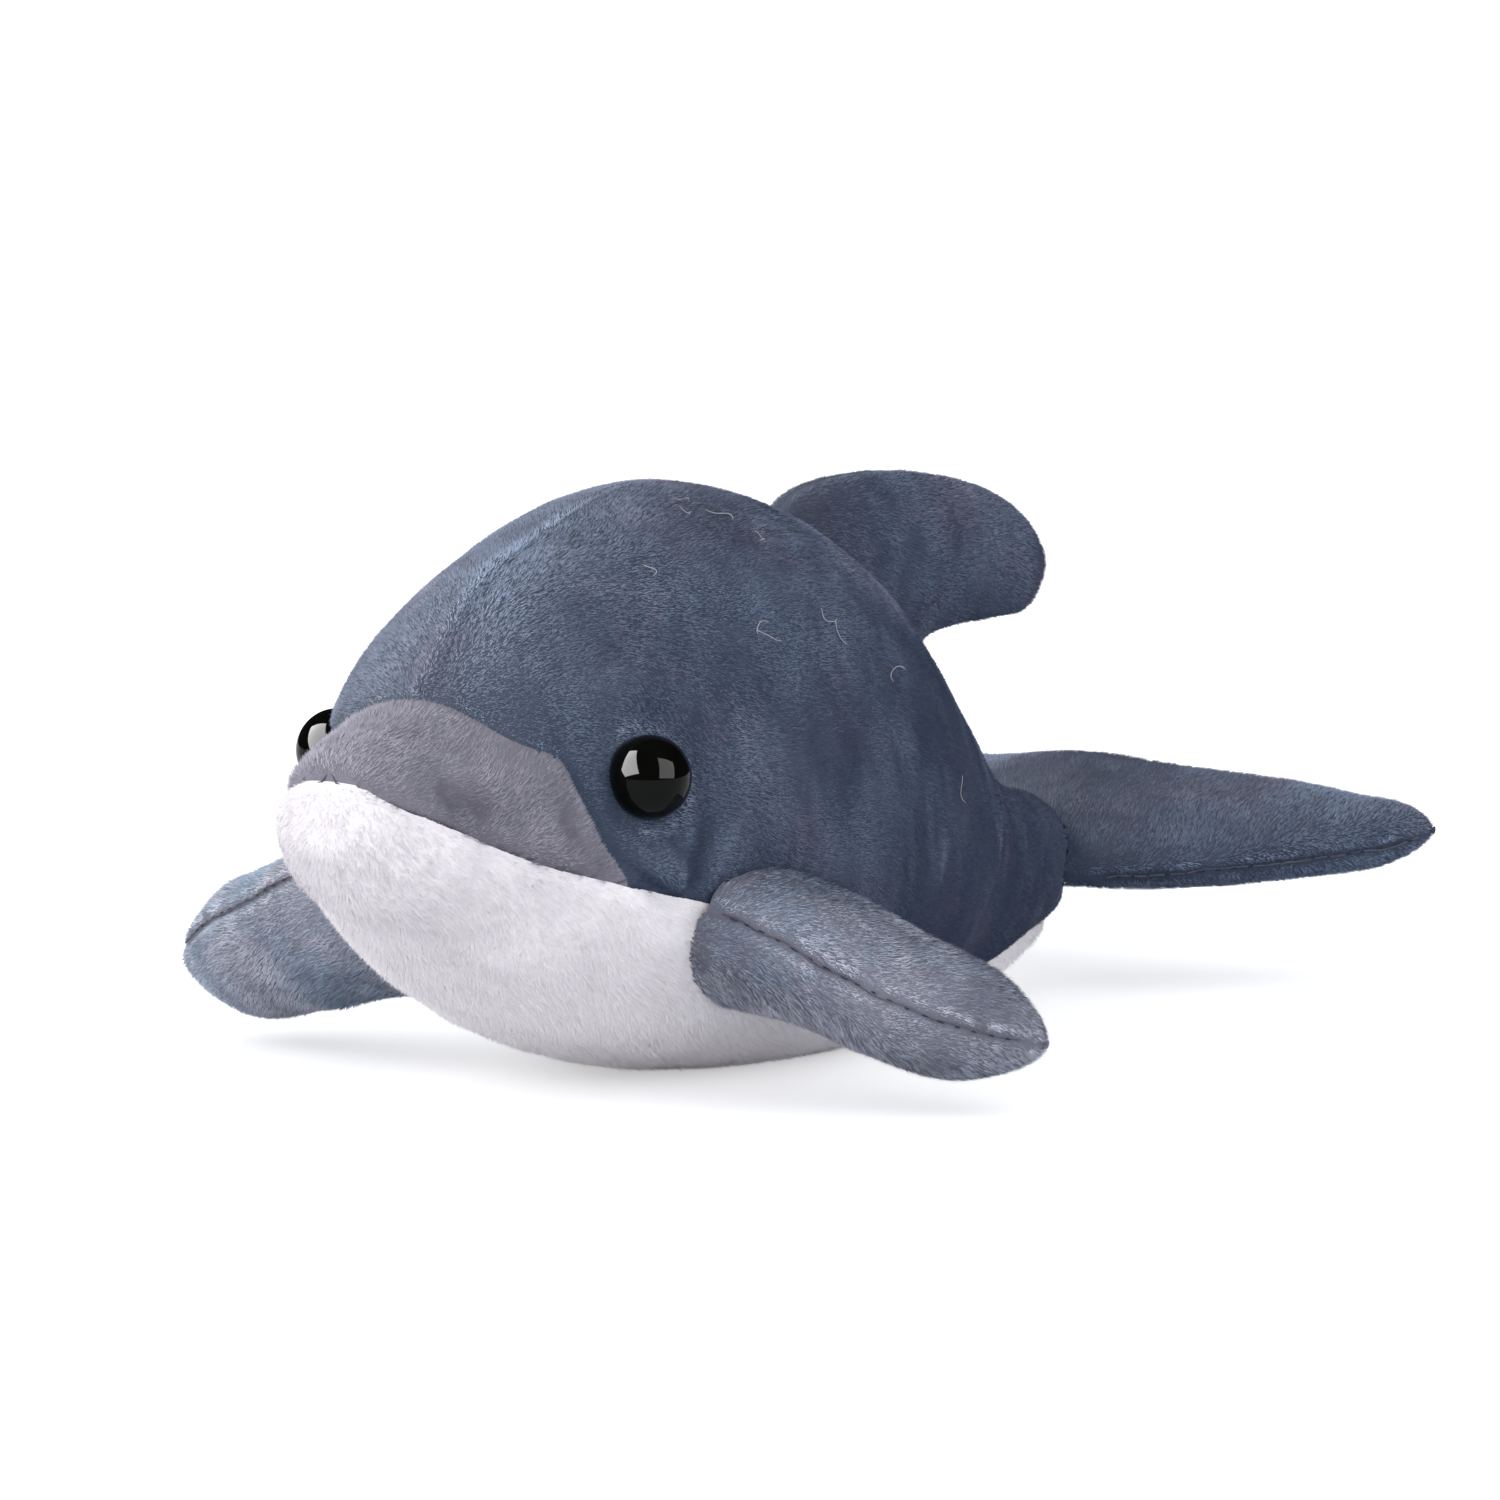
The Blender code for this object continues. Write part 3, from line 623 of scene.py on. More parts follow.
def fin_skin(rows, open_start, upright, steps, columns, seed):
    """A fin's points, triangles, normals, distance to its seam, and which are upper."""
    last = len(rows) - 1
    ends = 0.004 * last
    s = np.linspace(0 if open_start else ends, last - ends, steps)
    turn = 2 * math.pi * np.arange(columns) / columns
    s, turn = np.meshgrid(s, turn, indexing="ij")
    points = pouch_surface(rows, open_start, upright, s, turn).reshape(-1, 3)
    triangles = grid_triangles(steps, columns)
    normals = point_normals(points, triangles)
    middle = pouch_surface(rows, open_start, upright, s, turn + math.pi).reshape(-1, 3)
    if np.sum(normals * (points - middle)) < 0:
        triangles, normals = triangles[:, ::-1], -normals
    front = pouch_surface(rows, open_start, upright, s, 0 * turn).reshape(-1, 3)
    back = pouch_surface(rows, open_start, upright, s, 0 * turn + math.pi).reshape(-1, 3)
    edge = np.minimum(
        np.linalg.norm(points - front, axis=1), np.linalg.norm(points - back, axis=1)
    )
    inward = unit((front + back) / 2 - points)
    pinch = 0.45 * valley(edge, 0.9 * MM) + 0.15 * valley(edge, 3 * MM)
    lumps = 0.18 * soft_noise(points, 9 * MM, seed) + 0.07 * soft_noise(points, 3 * MM, seed)
    lumps *= 1 - valley(edge, 1.2 * MM)
    points = points - normals * (SET_IN - lumps * MM)[:, None]
    points = points + inward * (pinch * MM)[:, None]
    upper = (np.arange(len(triangles)) // 2 % columns) < columns // 2
    outside = depth_in_body(points[triangles].mean(axis=1)) < 0.8 * MM
    normals = point_normals(points, triangles)
    return points, triangles[outside], normals, edge, upper[outside]


print("cloth set in by", SET_IN)

# %% [markdown]
# ## The cloth of the body
#
# Fine rings of points follow the same sections as the solids. The points next to a
# seam move onto it, so that each panel ends exactly there, and then the seams and
# folds press the cloth in and soft lumps of filling push it out.

# %% Body grid
RINGS, COLUMNS = 216, 256


def even_sections(count):
    """Section numbers whose rings lie evenly along the cloth."""
    t = np.linspace(0.003, BODY_END - 0.003, 1500)
    lines = [bare_skin(t, np.full_like(t, a)) for a in np.linspace(-1.5, 1.5, 7)]
    steps = np.max([np.linalg.norm(np.diff(line, axis=0), axis=1) for line in lines], axis=0)
    length = np.concatenate([[0], np.cumsum(steps)])
    return np.interp(np.linspace(0, length[-1], count), length, t)


ring_t, ring_angle = np.meshgrid(
    even_sections(RINGS), 2 * math.pi * np.arange(COLUMNS) / COLUMNS, indexing="ij"
)
body_points = pulled_skin(ring_t, ring_angle).reshape(-1, 3)
body_normals = outward(pulled_skin, ring_t, ring_angle).reshape(-1, 3)
body_triangles = grid_triangles(RINGS, COLUMNS)
facing = np.sum(point_normals(body_points, body_triangles) * body_normals)
if facing < 0:
    body_triangles = body_triangles[:, ::-1]
print("body grid:", len(body_points), "points")

# %% [markdown]
# ## Panels that end on their seams
#
# On the toy each panel is a cut piece of cloth. A knife cut or a boolean would part
# this fine mesh too, but both leave slivers. So the nearest points first slide onto
# the seam, and then each triangle belongs wholly to one panel.

# %% Onto the seams
SNAP = 0.5 * MM
chin, chin_way = seam_offset(above_chin, body_points, body_normals)
near = np.abs(chin) < SNAP
body_points[near] -= (chin_way * chin[:, None])[near]
jaw, jaw_way = seam_offset(behind_snout, body_points, body_normals)
near = (np.abs(jaw) < SNAP) & (above_chin(body_points) > 0.1 * MM)
body_points[near] -= (jaw_way * jaw[:, None])[near]
near = (np.abs(body_points[:, 0]) < SNAP) & (above_chin(body_points) > 0.1 * MM)
near &= behind_snout(body_points) > 0.1 * MM
body_points[near, 0] = 0

middles = body_points[body_triangles].mean(axis=1)
over, behind = above_chin(middles) > 0, behind_snout(middles) > 0
panel = np.where(~over, 3, np.where(~behind, 2, np.where(middles[:, 0] > 0, 0, 1)))
print("triangles in each panel:", np.bincount(panel))

# %% [markdown]
# ## Pressing the cloth in
#
# Thread pulls the cloth into soft valleys, and the filling pushes it out in between.
# A displace modifier could do this with painted weights. Here the depth comes from the
# distance to each seam, fin root and fold, so that all panels get the same valleys and
# the exported mesh carries them. A limit keeps every valley above the filling.

# %% Seams, folds and lumps
DEEPEST = 1.6 * MM
left_fin = fin_skin(left_flipper, True, (0, 0, 1), 76, 88, 11)
right_fin = fin_skin(right_flipper, True, (0, 0, 1), 76, 88, 12)
top_fin = fin_skin(fin_rows(), True, (1, 0, 0), 84, 64, 13)
tail_fin = fin_skin(both_flukes, False, (0, 0, 1), 150, 84, 14)


def root_line(fin, reach=0.7 * MM):
    """The points where a fin leaves the body."""
    points = fin[0][np.unique(fin[1])]
    return points[np.abs(depth_in_body(points)) < reach]


def nearest(points, others):
    """Distance of each point to the nearest of a few others."""
    best = np.full(len(points), 1.0)
    for start in range(0, len(others), 40):
        gaps = points[:, None] - others[None, start : start + 40]
        best = np.minimum(best, np.sqrt((gaps**2).sum(-1)).min(axis=1))
    return best


roots = np.concatenate([root_line(f) for f in (left_fin, right_fin, top_fin, tail_fin)])
chin, _ = seam_offset(above_chin, body_points, body_normals)
jaw, _ = seam_offset(behind_snout, body_points, body_normals)
above, back = smooth_step(chin / MM), smooth_step(jaw / MM)
spine = np.where(body_points[:, 2] > 0.3 * BODY_HEIGHT, body_points[:, 0], 1.0)
pressed = 0.75 * valley(chin, 1.1 * MM) + 0.35 * valley(chin, 4 * MM)
pressed += above * (0.65 * valley(jaw, 1.1 * MM) + 0.35 * valley(jaw, 4 * MM))
forehead = valley(body_points[:, 1] + 60 * MM, 35 * MM)
pressed -= 0.7 * above * back * valley(spine, 1.2 * MM) * forehead
pressed += above * back * 0.25 * valley(spine, 0.5 * MM)
to_roots = nearest(body_points, roots[::3])
pressed += 0.6 * valley(to_roots, 1.6 * MM)
body_seam = np.minimum(np.abs(chin), to_roots)
body_seam = np.minimum(body_seam, np.where(above > 0.5, np.abs(jaw), 1.0))
proud = 1 - smooth_step((body_points[:, 1] - NOSE_Y) / BODY_LENGTH * 3 - 0.6)
from_spine = np.abs(spine) + (0.4 + 3 * proud) * MM
body_seam = np.minimum(body_seam, np.where(above * back > 0.5, from_spine, 1.0))
lumps = 0.28 * soft_noise(body_points, 15 * MM, 1) + 0.08 * soft_noise(body_points, 5 * MM, 2)
folded = fold_depth(body_points)
inward = SET_IN + np.minimum(pressed, 1.15) * MM + folded - lumps * MM
body_points -= body_normals * np.minimum(inward, DEEPEST)[:, None]
# Painted shade in the folds and painted light on the ridges between them, passed on to the tones of the
# pile.
fold_painted_shade = -0.38 * folded / MM
FLOOR_ROUNDING = 0.7 * MM
height = body_points[:, 2]
body_points[:, 2] = 0.5 * (height + np.sqrt(height**2 + FLOOR_ROUNDING**2))
body_normals = point_normals(body_points, body_triangles)
print("deepest seam:", round(float(inward.max() / MM), 2), "mm")

# %% [markdown]
# ## The panels of the body
#
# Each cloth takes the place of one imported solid. They could stay one mesh with four
# materials, but separate pieces can be swapped or recoloured one at a time, as the
# four cut cloths of the toy can.

# %% Body panels
PANELS = [
    ("back_panel_left", back_cloth, "back_plush"),
    ("back_panel_right", back_cloth, "back_plush"),
    ("snout_panel", snout_cloth, "snout_plush"),
    ("belly_panel", belly_cloth, "belly_plush"),
]
cloths = {}
for number, (node, look, slot) in enumerate(PANELS):
    chosen = body_triangles[panel == number]
    cloth = used_only(body_points, chosen, body_normals, body_seam, fold_painted_shade)
    cloths[node] = cloth
    piece = add_piece(f"{node}_cloth", cloth[0], cloth[1], [look])
    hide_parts(node)
    print(node, len(cloth[1]))

# %% [markdown]
# ## The panels of the fins
#
# A fin is sewn from two cloths of the same shape, laid face to face and turned inside
# out. The skin of each fin is therefore parted along its edge into two pieces.

# %% Fin panels
FINS = [
    (left_fin, "flipper_left_upper", "flipper_left_lower", fin_cloth, "flipper_plush"),
    (right_fin, "flipper_right_upper", "flipper_right_lower", fin_cloth, "flipper_plush"),
    (top_fin, "dorsal_fin_left", "dorsal_fin_right", back_cloth, "back_plush"),
    (tail_fin, "fluke_upper", "fluke_lower", back_cloth, "back_plush"),
]
for (points, triangles, normals, edge, upper), above_node, below_node, look, slot in FINS:
    for node, chosen in ((above_node, upper), (below_node, ~upper)):
        cloth = used_only(points, triangles[chosen], normals, edge, np.zeros(len(points)))
        cloths[node] = cloth
        piece = add_piece(f"{node}_cloth", cloth[0], cloth[1], [look])
        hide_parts(node)
        print(node, len(cloth[1]))

# %% [markdown]
# ## Pile
#
# Short plush pile is thousands of fine fibres that lean the same way, like grass in
# wind. Blender's hair would give them too, but only real triangles go with the model
# when it is exported, so each fibre is one long thin triangle. Its colour comes from
# a few shades of its cloth, laid out in drifting clouds as dye and light make them.

# %% Shades of the pile
def pile_shades(name, colours):
    """One plain finish for each colour that the fibres of a cloth can have."""
    made = []
    for number, colour in enumerate(colours):
        shade = bpy.data.materials.new(f"{name}_{number}")
        shade.use_nodes = True
        shader = shade.node_tree.nodes["Principled BSDF"]
        shader.inputs["Base Color"].default_value = (*colour, 1)
        shader.inputs["Roughness"].default_value = 0.75
        shader.inputs["Specular IOR Level"].default_value = 0.2
        made.append(shade)
    return made


def between(dark, light, count):
    """Colours from dark to light in even steps."""
    dark, light = np.array(dark), np.array(light)
    return [tuple(dark + (light - dark) * i / (count - 1)) for i in range(count)]


back_pile = pile_shades(
    "back_pile",
    between((0.014, 0.028, 0.070), (0.335, 0.422, 0.592), 12)
    + between((0.050, 0.046, 0.088), (0.260, 0.250, 0.345), 4),
)
snout_pile = pile_shades("snout_pile", between((0.148, 0.143, 0.182), (0.415, 0.395, 0.475), 6))
fin_pile = pile_shades(
    "fin_pile",
    between((0.150, 0.163, 0.222), (0.64, 0.643, 0.745), 8)
    + between((0.083, 0.136, 0.206), (0.40, 0.500, 0.625), 4),
)
belly_pile = pile_shades("belly_pile", between((0.73, 0.69, 0.725), (0.96, 0.93, 0.96), 6))
print("shades:", len(back_pile), len(snout_pile), len(fin_pile), len(belly_pile))

# %% [markdown]
# ## How one patch grows
#
# Each fibre needs a root on the cloth, a way to lean, a length and a roll. All come
# from seeded chance, with soft noise on top, because pile that is brushed by hand lies
# in drifts. The fibres borrow the normals of the cloth, so that they shade as one soft
# surface and not as loose blades.

# %% One patch of pile
FIBRE_LENGTH, FIBRE_HALF_WIDTH = 1.2 * MM, 0.05 * MM


def turned(vectors, sideways, angle):
    """Vectors turned towards another direction by an angle each."""
    return vectors * np.cos(angle)[:, None] + sideways * np.sin(angle)[:, None]


def pile_patch(cloth, per_mm2, flow, rng, length=FIBRE_LENGTH, lift=22, fluff=0.12, bare=-1.0):
    """Fibres over a cloth: corner points of their triangles, normals and roots."""
    points, triangles, normals, seam, shade = cloth
    corners = points[triangles]
    faces = np.cross(corners[:, 1] - corners[:, 0], corners[:, 2] - corners[:, 0])
    area = np.linalg.norm(faces, axis=1) / 2
    count = int(area.sum() / MM**2 * per_mm2)
    share = np.cumsum(area) / area.sum()
    chosen = np.minimum(np.searchsorted(share, rng.random(count)), len(area) - 1)
    weights = rng.dirichlet((1, 1, 1), count)
    root = np.einsum("nc,nca->na", weights, corners[chosen])
    out = unit(np.einsum("nc,nca->na", weights, normals[triangles[chosen]]))
    seam = np.sum(weights * seam[triangles[chosen]], axis=1)
    shade = np.sum(weights * shade[triangles[chosen]], axis=1)
    lean = flow(root)
    lean = unit(lean - out * np.sum(lean * out, axis=1, keepdims=True))
    side = np.cross(out, lean)
    swing = 0.40 * soft_noise(root, 10 * MM, 21) + 0.18 * soft_noise(root, 3 * MM, 22)
    lean = turned(lean, side, swing + 0.22 * rng.standard_normal(count))
    angle = lift + 7 * soft_noise(root, 4 * MM, 23) + 7 * rng.standard_normal(count)
    angle = np.radians(np.clip(angle, 6, 70))[:, None]
    along = lean * np.cos(angle) + out * np.sin(angle)
    size = length * (1 + 0.15 * soft_noise(root, 6 * MM, 24)) * rng.uniform(0.65, 1.15, count)
    size *= 0.4 + 0.6 * smooth_step(seam / (2 * MM))
    across = unit(np.cross(along, out))
    face = np.cross(across, along)
    roll = rng.uniform(-0.9, 0.9, count)
    across = across * np.cos(roll)[:, None] + face * np.sin(roll)[:, None]
    half = FIBRE_HALF_WIDTH * rng.uniform(0.7, 1.3, count)[:, None]
    tip = root + along * size[:, None]
    base = root - out * 0.1 * MM
    fibres = np.stack([base - across * half, base + across * half, tip], axis=1)
    fibres[:, :, 2] = np.maximum(fibres[:, :, 2], 0.02 * MM)
    way = np.cross(fibres[:, 1] - fibres[:, 0], fibres[:, 2] - fibres[:, 0])
    wrong = np.sum(way * out, axis=1) < 0
    fibres[wrong] = fibres[wrong][:, [1, 0, 2]]
    way = unit(np.where(wrong[:, None], -way, way))
    shading = unit(0.8 * out + 0.5 * way + fluff * rng.standard_normal((count, 3)))
    kept = seam > bare
    return fibres[kept], shading[kept], root[kept], seam[kept], shade[kept]


def add_pile(name, patch, shades, shade):
    """A patch of fibres as one piece, shaded with the normals of its cloth."""
    fibres, shading = patch[:2]
    points = fibres.reshape(-1, 3)
    triangles = np.arange(len(points)).reshape(-1, 3)
    piece = add_piece(name, points, triangles, shades, which=shade)
    piece.data.normals_split_custom_set_from_vertices(np.repeat(shading, 3, axis=0))
    print(name, len(fibres), "fibres")
    return piece


def shade_number(tone, count):
    """Which of count shades a tone from 0 to 1 asks for."""
    return np.clip((tone * count).astype(int), 0, count - 1)


print("widest fibre:", 2 * FIBRE_HALF_WIDTH / MM, "mm")

# %% [markdown]
# ## Pile of the body
#
# The pile lies from the nose to the tail and down the flanks, and up over the snout.
# Combed hair guides could say so too. Here a small function gives the way at each
# point. The forehead and the top are painted lighter and the lower rear flanks darker,
# as painted light and shade. Along the seam of the back the pile is paler, with a painted
# highlight on its ridge and a painted shadow beside it. Some fibres of the back took a
# purple dye.

# %% Pile of the body
BACK_FIBRES, SNOUT_FIBRES, BELLY_FIBRES, FIN_FIBRES = 25, 21, 18, 22  # a square mm


def to_tail(points, rise=-0.45):
    """Back over the body and down its flanks."""
    aside = 0.2 * np.tanh(points[:, 0] / (8 * MM))
    return np.stack([aside, np.ones(len(points)), np.full(len(points), rise)], -1)


def up_the_snout(points):
    """Back over the snout and a little upwards."""
    return to_tail(points, 0.35)


def down_the_chin(points):
    """Back along the chin and steeply down."""
    return to_tail(points, -1.1)


def mottled(patch, seed, spread=0.10):
    """Tones from 0 to 1 in soft clouds and streaks, with painted shade in seams and folds and painted
    light on fold ridges.
    """
    root, seam, shade = patch[2:]
    tone = 0.5 + 0.20 * soft_noise(root, 14 * MM, seed) + 0.15 * soft_noise(root, 5 * MM, seed + 1)
    tone += 0.12 * soft_noise(root * np.array([1, 1, 0.3]), 1.8 * MM, seed + 2)
    # Painted shade in the folds and down in the seams' valleys, and painted light on the fold ridges.
    tone += shade - 0.35 * valley(seam, 0.7 * MM)
    return tone + spread * np.random.default_rng(seed).standard_normal(len(root))


def two_dyes(patch, tone, shade, more, rng, first=12):
    """Some fibres, more of them in clouds, take one of the four shades of the second dye."""
    root = patch[2]
    purple = 0.42 * soft_noise(root, 11 * MM, 35) + 0.22 * soft_noise(root, 4 * MM, 36)
    purple += more + 0.35 * rng.standard_normal(len(root))
    return np.where(purple > 0.38, first + shade_number(tone * 1.1, 4), shade)


rng = np.random.default_rng(7)
for node in ("back_panel_left", "back_panel_right"):
    patch = pile_patch(cloths[node], BACK_FIBRES, to_tail, rng, length=0.74 * MM)
    root = patch[2]
    along = (root[:, 1] - NOSE_Y) / BODY_LENGTH
    front = 1 - smooth_step((along - 0.12) / 0.3)
    top = smooth_step((root[:, 2] / BODY_HEIGHT - 0.5) / 0.35)
    tone = 0.25 + 0.75 * (mottled(patch, 31) - 0.5)
    # Painted light and shade: lighter on the forehead near the back's seam and a little on the top,
    # darker low down on the rear flanks.
    tone += 0.62 * front * top * valley(root[:, 0], 20 * MM) + 0.04 * top
    tone -= 0.33 * smooth_step((along - 0.40) / 0.25) * (1 - top)
    # A pale line along the seam of the back, near the snout: paler parted pile with a painted highlight
    # on the seam's ridge.
    ridge = 1 - smooth_step((along - 0.25) / 0.15)
    tone += ridge * valley(root[:, 0], 0.5 * MM) * (1.15 + 0.8 * soft_noise(root, 2.5 * MM, 33))
    # Paler pile just behind the snout's seam, above the eyes, with a painted highlight on it.
    at_snout = valley(patch[3] - 0.5 * MM, 0.5 * MM) * (along < 0.17) * (root[:, 2] > EYE_CENTRE[2])
    tone += at_snout * np.maximum(0.2 + 0.9 * soft_noise(root, 3 * MM, 37), 0)
    # Painted shadow on the right side of the ridge of the back's seam.
    tone -= 0.15 * ridge * (root[:, 0] < -0.4 * MM) * top
    # Painted highlight on the raised cloth round the back of each eye's seat.
    from_eye = np.linalg.norm(root * [1 if node.endswith("left") else -1, 1, 1] - EYE_CENTRE, axis=1)
    tone += 0.45 * valley(from_eye - 6.4 * MM, 0.7 * MM) * (root[:, 1] > EYE_CENTRE[1] - 2 * MM)
    shade = shade_number(0.04 + 0.68 * tone, 12)
    shade = two_dyes(patch, tone, shade, 0.36 * smooth_step((along - 0.35) / 0.2) * top, rng)
    add_pile(f"{node}_pile", patch, back_pile, shade)

patch = pile_patch(cloths["snout_panel"], SNOUT_FIBRES, up_the_snout, rng, length=1.1 * MM)
add_pile("snout_pile", patch, snout_pile, shade_number(mottled(patch, 41, 0.15), 6))
patch = pile_patch(cloths["belly_panel"], BELLY_FIBRES, down_the_chin, rng, lift=26, fluff=0.3)
# Painted light: the belly is lighter low down, for the light that the white floor throws up, and
# painted darker at the nose tip, against the strong light there.
low = 1 - smooth_step((patch[2][:, 2] - 5 * MM) / (13 * MM))
tone = 0.58 + 0.5 * (mottled(patch, 45, 0.15) - 0.5) + 0.5 * low
tone -= 0.42 * valley(patch[2][:, 1] - NOSE_Y, 14 * MM)
add_pile("belly_pile", patch, belly_pile, shade_number(tone, 6))

# %% [markdown]
# ## Pile of the fins
#
# The flippers have a longer, greyer pile than the back, with some bluer fibres. Next
# to a sewn edge the pile is caught in the seam: none grows right at the thread, and a
# painted highlight lies on the pile just beside it, stronger on the upper cloths.

# %% Pile of the fins
def outward_and_back(points):
    """Away from the body, as the pile of the flippers and flukes lies."""
    return np.stack([np.sign(points[:, 0]), 0.6 + 0 * points[:, 0], -0.2 + 0 * points[:, 0]], -1)


for node in [node for fin in FINS for node in fin[1:3]]:
    flipper = node.startswith("flipper")
    flow = outward_and_back if flipper else to_tail
    length = (1.1 if flipper else 0.85) * MM
    bare = 0.32 * MM if flipper or node.startswith("fluke") else -1.0
    patch = pile_patch(cloths[node], FIN_FIBRES, flow, rng, length=length, bare=bare)
    tone = mottled(patch, 51, 0.13 if flipper else 0.10) - (0.10 if flipper else 0)
    # Painted highlight on the pile just beside the sewn edge, stronger on the upper cloths.
    painted_seam_highlight = valley(patch[3] - 1.2 * MM, 0.6 * MM) * (0.5 + soft_noise(patch[2], 1.5 * MM, 53))
    tone += (0.65 if node.endswith("upper") else 0.25) * np.maximum(painted_seam_highlight, 0)
    shades, slot = (fin_pile, "flipper_plush") if flipper else (back_pile, "back_plush")
    if not flipper:
        tone = 0.75 * (tone - 0.5) + (0.40 if node.startswith("fluke") else 0.24)
        if node.startswith("fluke"):
            tone -= 0.28 * valley(patch[2][:, 0], 11 * MM)
    if flipper:
        shade = two_dyes(patch, tone, shade_number(tone, 8), 0.25, rng, first=8)
    else:
        shade = two_dyes(patch, tone, shade_number(0.04 + 0.68 * tone, 12), 0.1, rng)
    add_pile(f"{node}_pile", patch, shades, shade)

# %% [markdown]
# ## Thread and lint
#
# A dark thread runs in the seams and shows as short stitches along the front edges of
# the flippers and flukes, where a thin dark tube along each seam is painted shadow in its
# groove. A few stray fibres lie on the back, as on any plush that has been handled. All
# of them are thin tubes along lines of points.

# %% Tubes
def tube_mesh(lines, radius, sides=6):
    """Points and triangles of closed tubes along lines of points."""
    points, triangles, start = [], [], 0
    angle = 2 * math.pi * np.arange(sides) / sides
    for line in lines:
        along = unit(np.gradient(line, axis=0))
        side = unit(np.cross(along, np.array([0.31, 0.17, 0.93])))
        up = np.cross(along, side)
        thick = np.full(len(line), radius)
        thick[[0, -1]] = radius * 0.3
        ring = np.cos(angle)[None, :, None] * side[:, None] + np.sin(angle)[None, :, None] * up[:, None]
        points.append((line[:, None] + ring * thick[:, None, None]).reshape(-1, 3))
        triangles.append(grid_triangles(len(line), sides)[:, ::-1] + start)
        last = start + (len(line) - 1) * sides
        fan = np.arange(1, sides - 1)
        triangles.append(np.stack([0 * fan, fan, fan + 1], -1)[:, ::-1] + start)
        triangles.append(np.stack([0 * fan, fan, fan + 1], -1) + last)
        start += len(line) * sides
    return np.concatenate(points), np.concatenate(triangles)


def cut_into(line, pitch, length, rng):
    """Short stretches of a line, one about every pitch, no two quite alike."""
    steps = np.linalg.norm(np.diff(line, axis=0), axis=1)
    place = np.concatenate([[0], np.cumsum(steps)])
    made = []
    for start in np.arange(0.5 * pitch, place[-1] - 1.3 * length, pitch):
        start = start + pitch * rng.uniform(-0.12, 0.12)
        at = np.linspace(start, start + length * rng.uniform(0.6, 1.25), 5)
        made.append(np.stack([np.interp(at, place, line[:, k]) for k in range(3)], -1))
    return made


print("triangles of a short tube:", len(tube_mesh([np.array([[0, 0, 0], [0, 0, MM]])], MM)[1]))

# %% [markdown]
# ## Stitches
#
# Along the front edges of the flippers and flukes the seam is open enough to show its
# thread, in short uneven stitches. An array along a curve would repeat one stitch
# exactly. Cutting the seam line into stretches of unequal length looks more like sewing.

# %% Stitches
def smoothed(line):
    """A seam line that wanders a little, as the cloth puckers along it."""
    wander = soft_noise(line, 3 * MM, 61)[:, None] * np.array([0, 0.08, 0.22]) * MM
    return line + wander


# A dark finish for the tube that is painted shadow in the seam's groove.
groove_shadow_look = cloth_material("groove_painted_shadow", (0.05, 0.055, 0.075), (0.10, 0.105, 0.13), 2.0)
thread_look = cloth_material("dark_thread", (0.010, 0.012, 0.022), (0.030, 0.034, 0.055), 1.0)
STITCH_PITCH, STITCH_LENGTH, THREAD_RADIUS = 2.1 * MM, 1.0 * MM, 0.12 * MM


def front_seam(rows, open_start, upright, first, last, depth=0.6):
    """The line at the bottom of the seam on a fin's front edge."""
    s = np.linspace(first, last, 120)
    front = pouch_surface(rows, open_start, upright, s, 0 * s)
    back = pouch_surface(rows, open_start, upright, s, 0 * s + math.pi)
    return front + unit(back - front) * (depth * MM)


rng = np.random.default_rng(5)
flipper_seams = [front_seam(left_flipper, True, (0, 0, 1), 0.75, 3.6)]
flipper_seams.append(front_seam(right_flipper, True, (0, 0, 1), 0.75, 3.6))
fluke_seams = [front_seam(both_flukes, False, (0, 0, 1), 0.5, 3.3)]
fluke_seams.append(front_seam(both_flukes, False, (0, 0, 1), 4.7, 7.5))
for name, seams, slot in (
    ("flipper_stitches", flipper_seams, "flipper_plush"),
    ("fluke_stitches", fluke_seams, "back_plush"),
):
    stitches = []
    for seam in seams:
        stitches += cut_into(seam, STITCH_PITCH, STITCH_LENGTH, rng)
    points, triangles = tube_mesh(stitches, THREAD_RADIUS)
    add_piece(name, points, triangles, [thread_look])
    # A thin dark tube along each whole seam is painted shadow in its groove, between the stitches.
    dim, lines = tube_mesh([smoothed(seam) for seam in seams], 0.10 * MM)
    add_piece(f"{name}_shade", dim, lines, [groove_shadow_look])
    print(name, len(stitches))

# %% [markdown]
# ## Thread under the snout
#
# Where the white chin meets the grey snout, a brown thread lies at the bottom of the
# valley. A curve with a bevel could follow it. Picking the mesh's own points nearest
# to the seam keeps the thread in the valley however deep that is.

# %% Seam thread
def along_groove(ys, zs, first, last):
    """The bottom of a seam's valley on both sides, from one share of it to another."""
    n = len(ys)
    places = np.stack([ys, zs], -1)[int(first * n) : int(last * n) : 2]
    lines = []
    for side in (1, -1):
        half = np.flatnonzero(body_points[:, 0] * side >= 0)
        gaps = ((body_points[half][:, None, 1:] - places[None]) ** 2).sum(-1)
        found = half[gaps.argmin(axis=0)]
        line = body_points[found] - 0.08 * MM * body_normals[found]
        keep = np.concatenate([[True], np.linalg.norm(np.diff(line, axis=0), axis=1) > 0.3 * MM])
        line = line[keep]
        line[1:-1] = (line[:-2] + 2 * line[1:-1] + line[2:]) / 4
        lines.append(line)
    return lines


seam_look = cloth_material("seam_thread", (0.05, 0.038, 0.045), (0.11, 0.085, 0.095), 1.5)
mouth = along_groove(CHIN_Y, CHIN_Z, 0.09, 0.34)
points, triangles = tube_mesh(mouth, 0.11 * MM)
add_piece("chin_seam_thread", points, triangles, [seam_look])
print("chin seam thread", len(triangles))

# %% [markdown]
# ## Lint
#
# A few pale fibres that came loose curl on the back. Each is an arc of its own size
# and turn, just above the pile at a listed place.

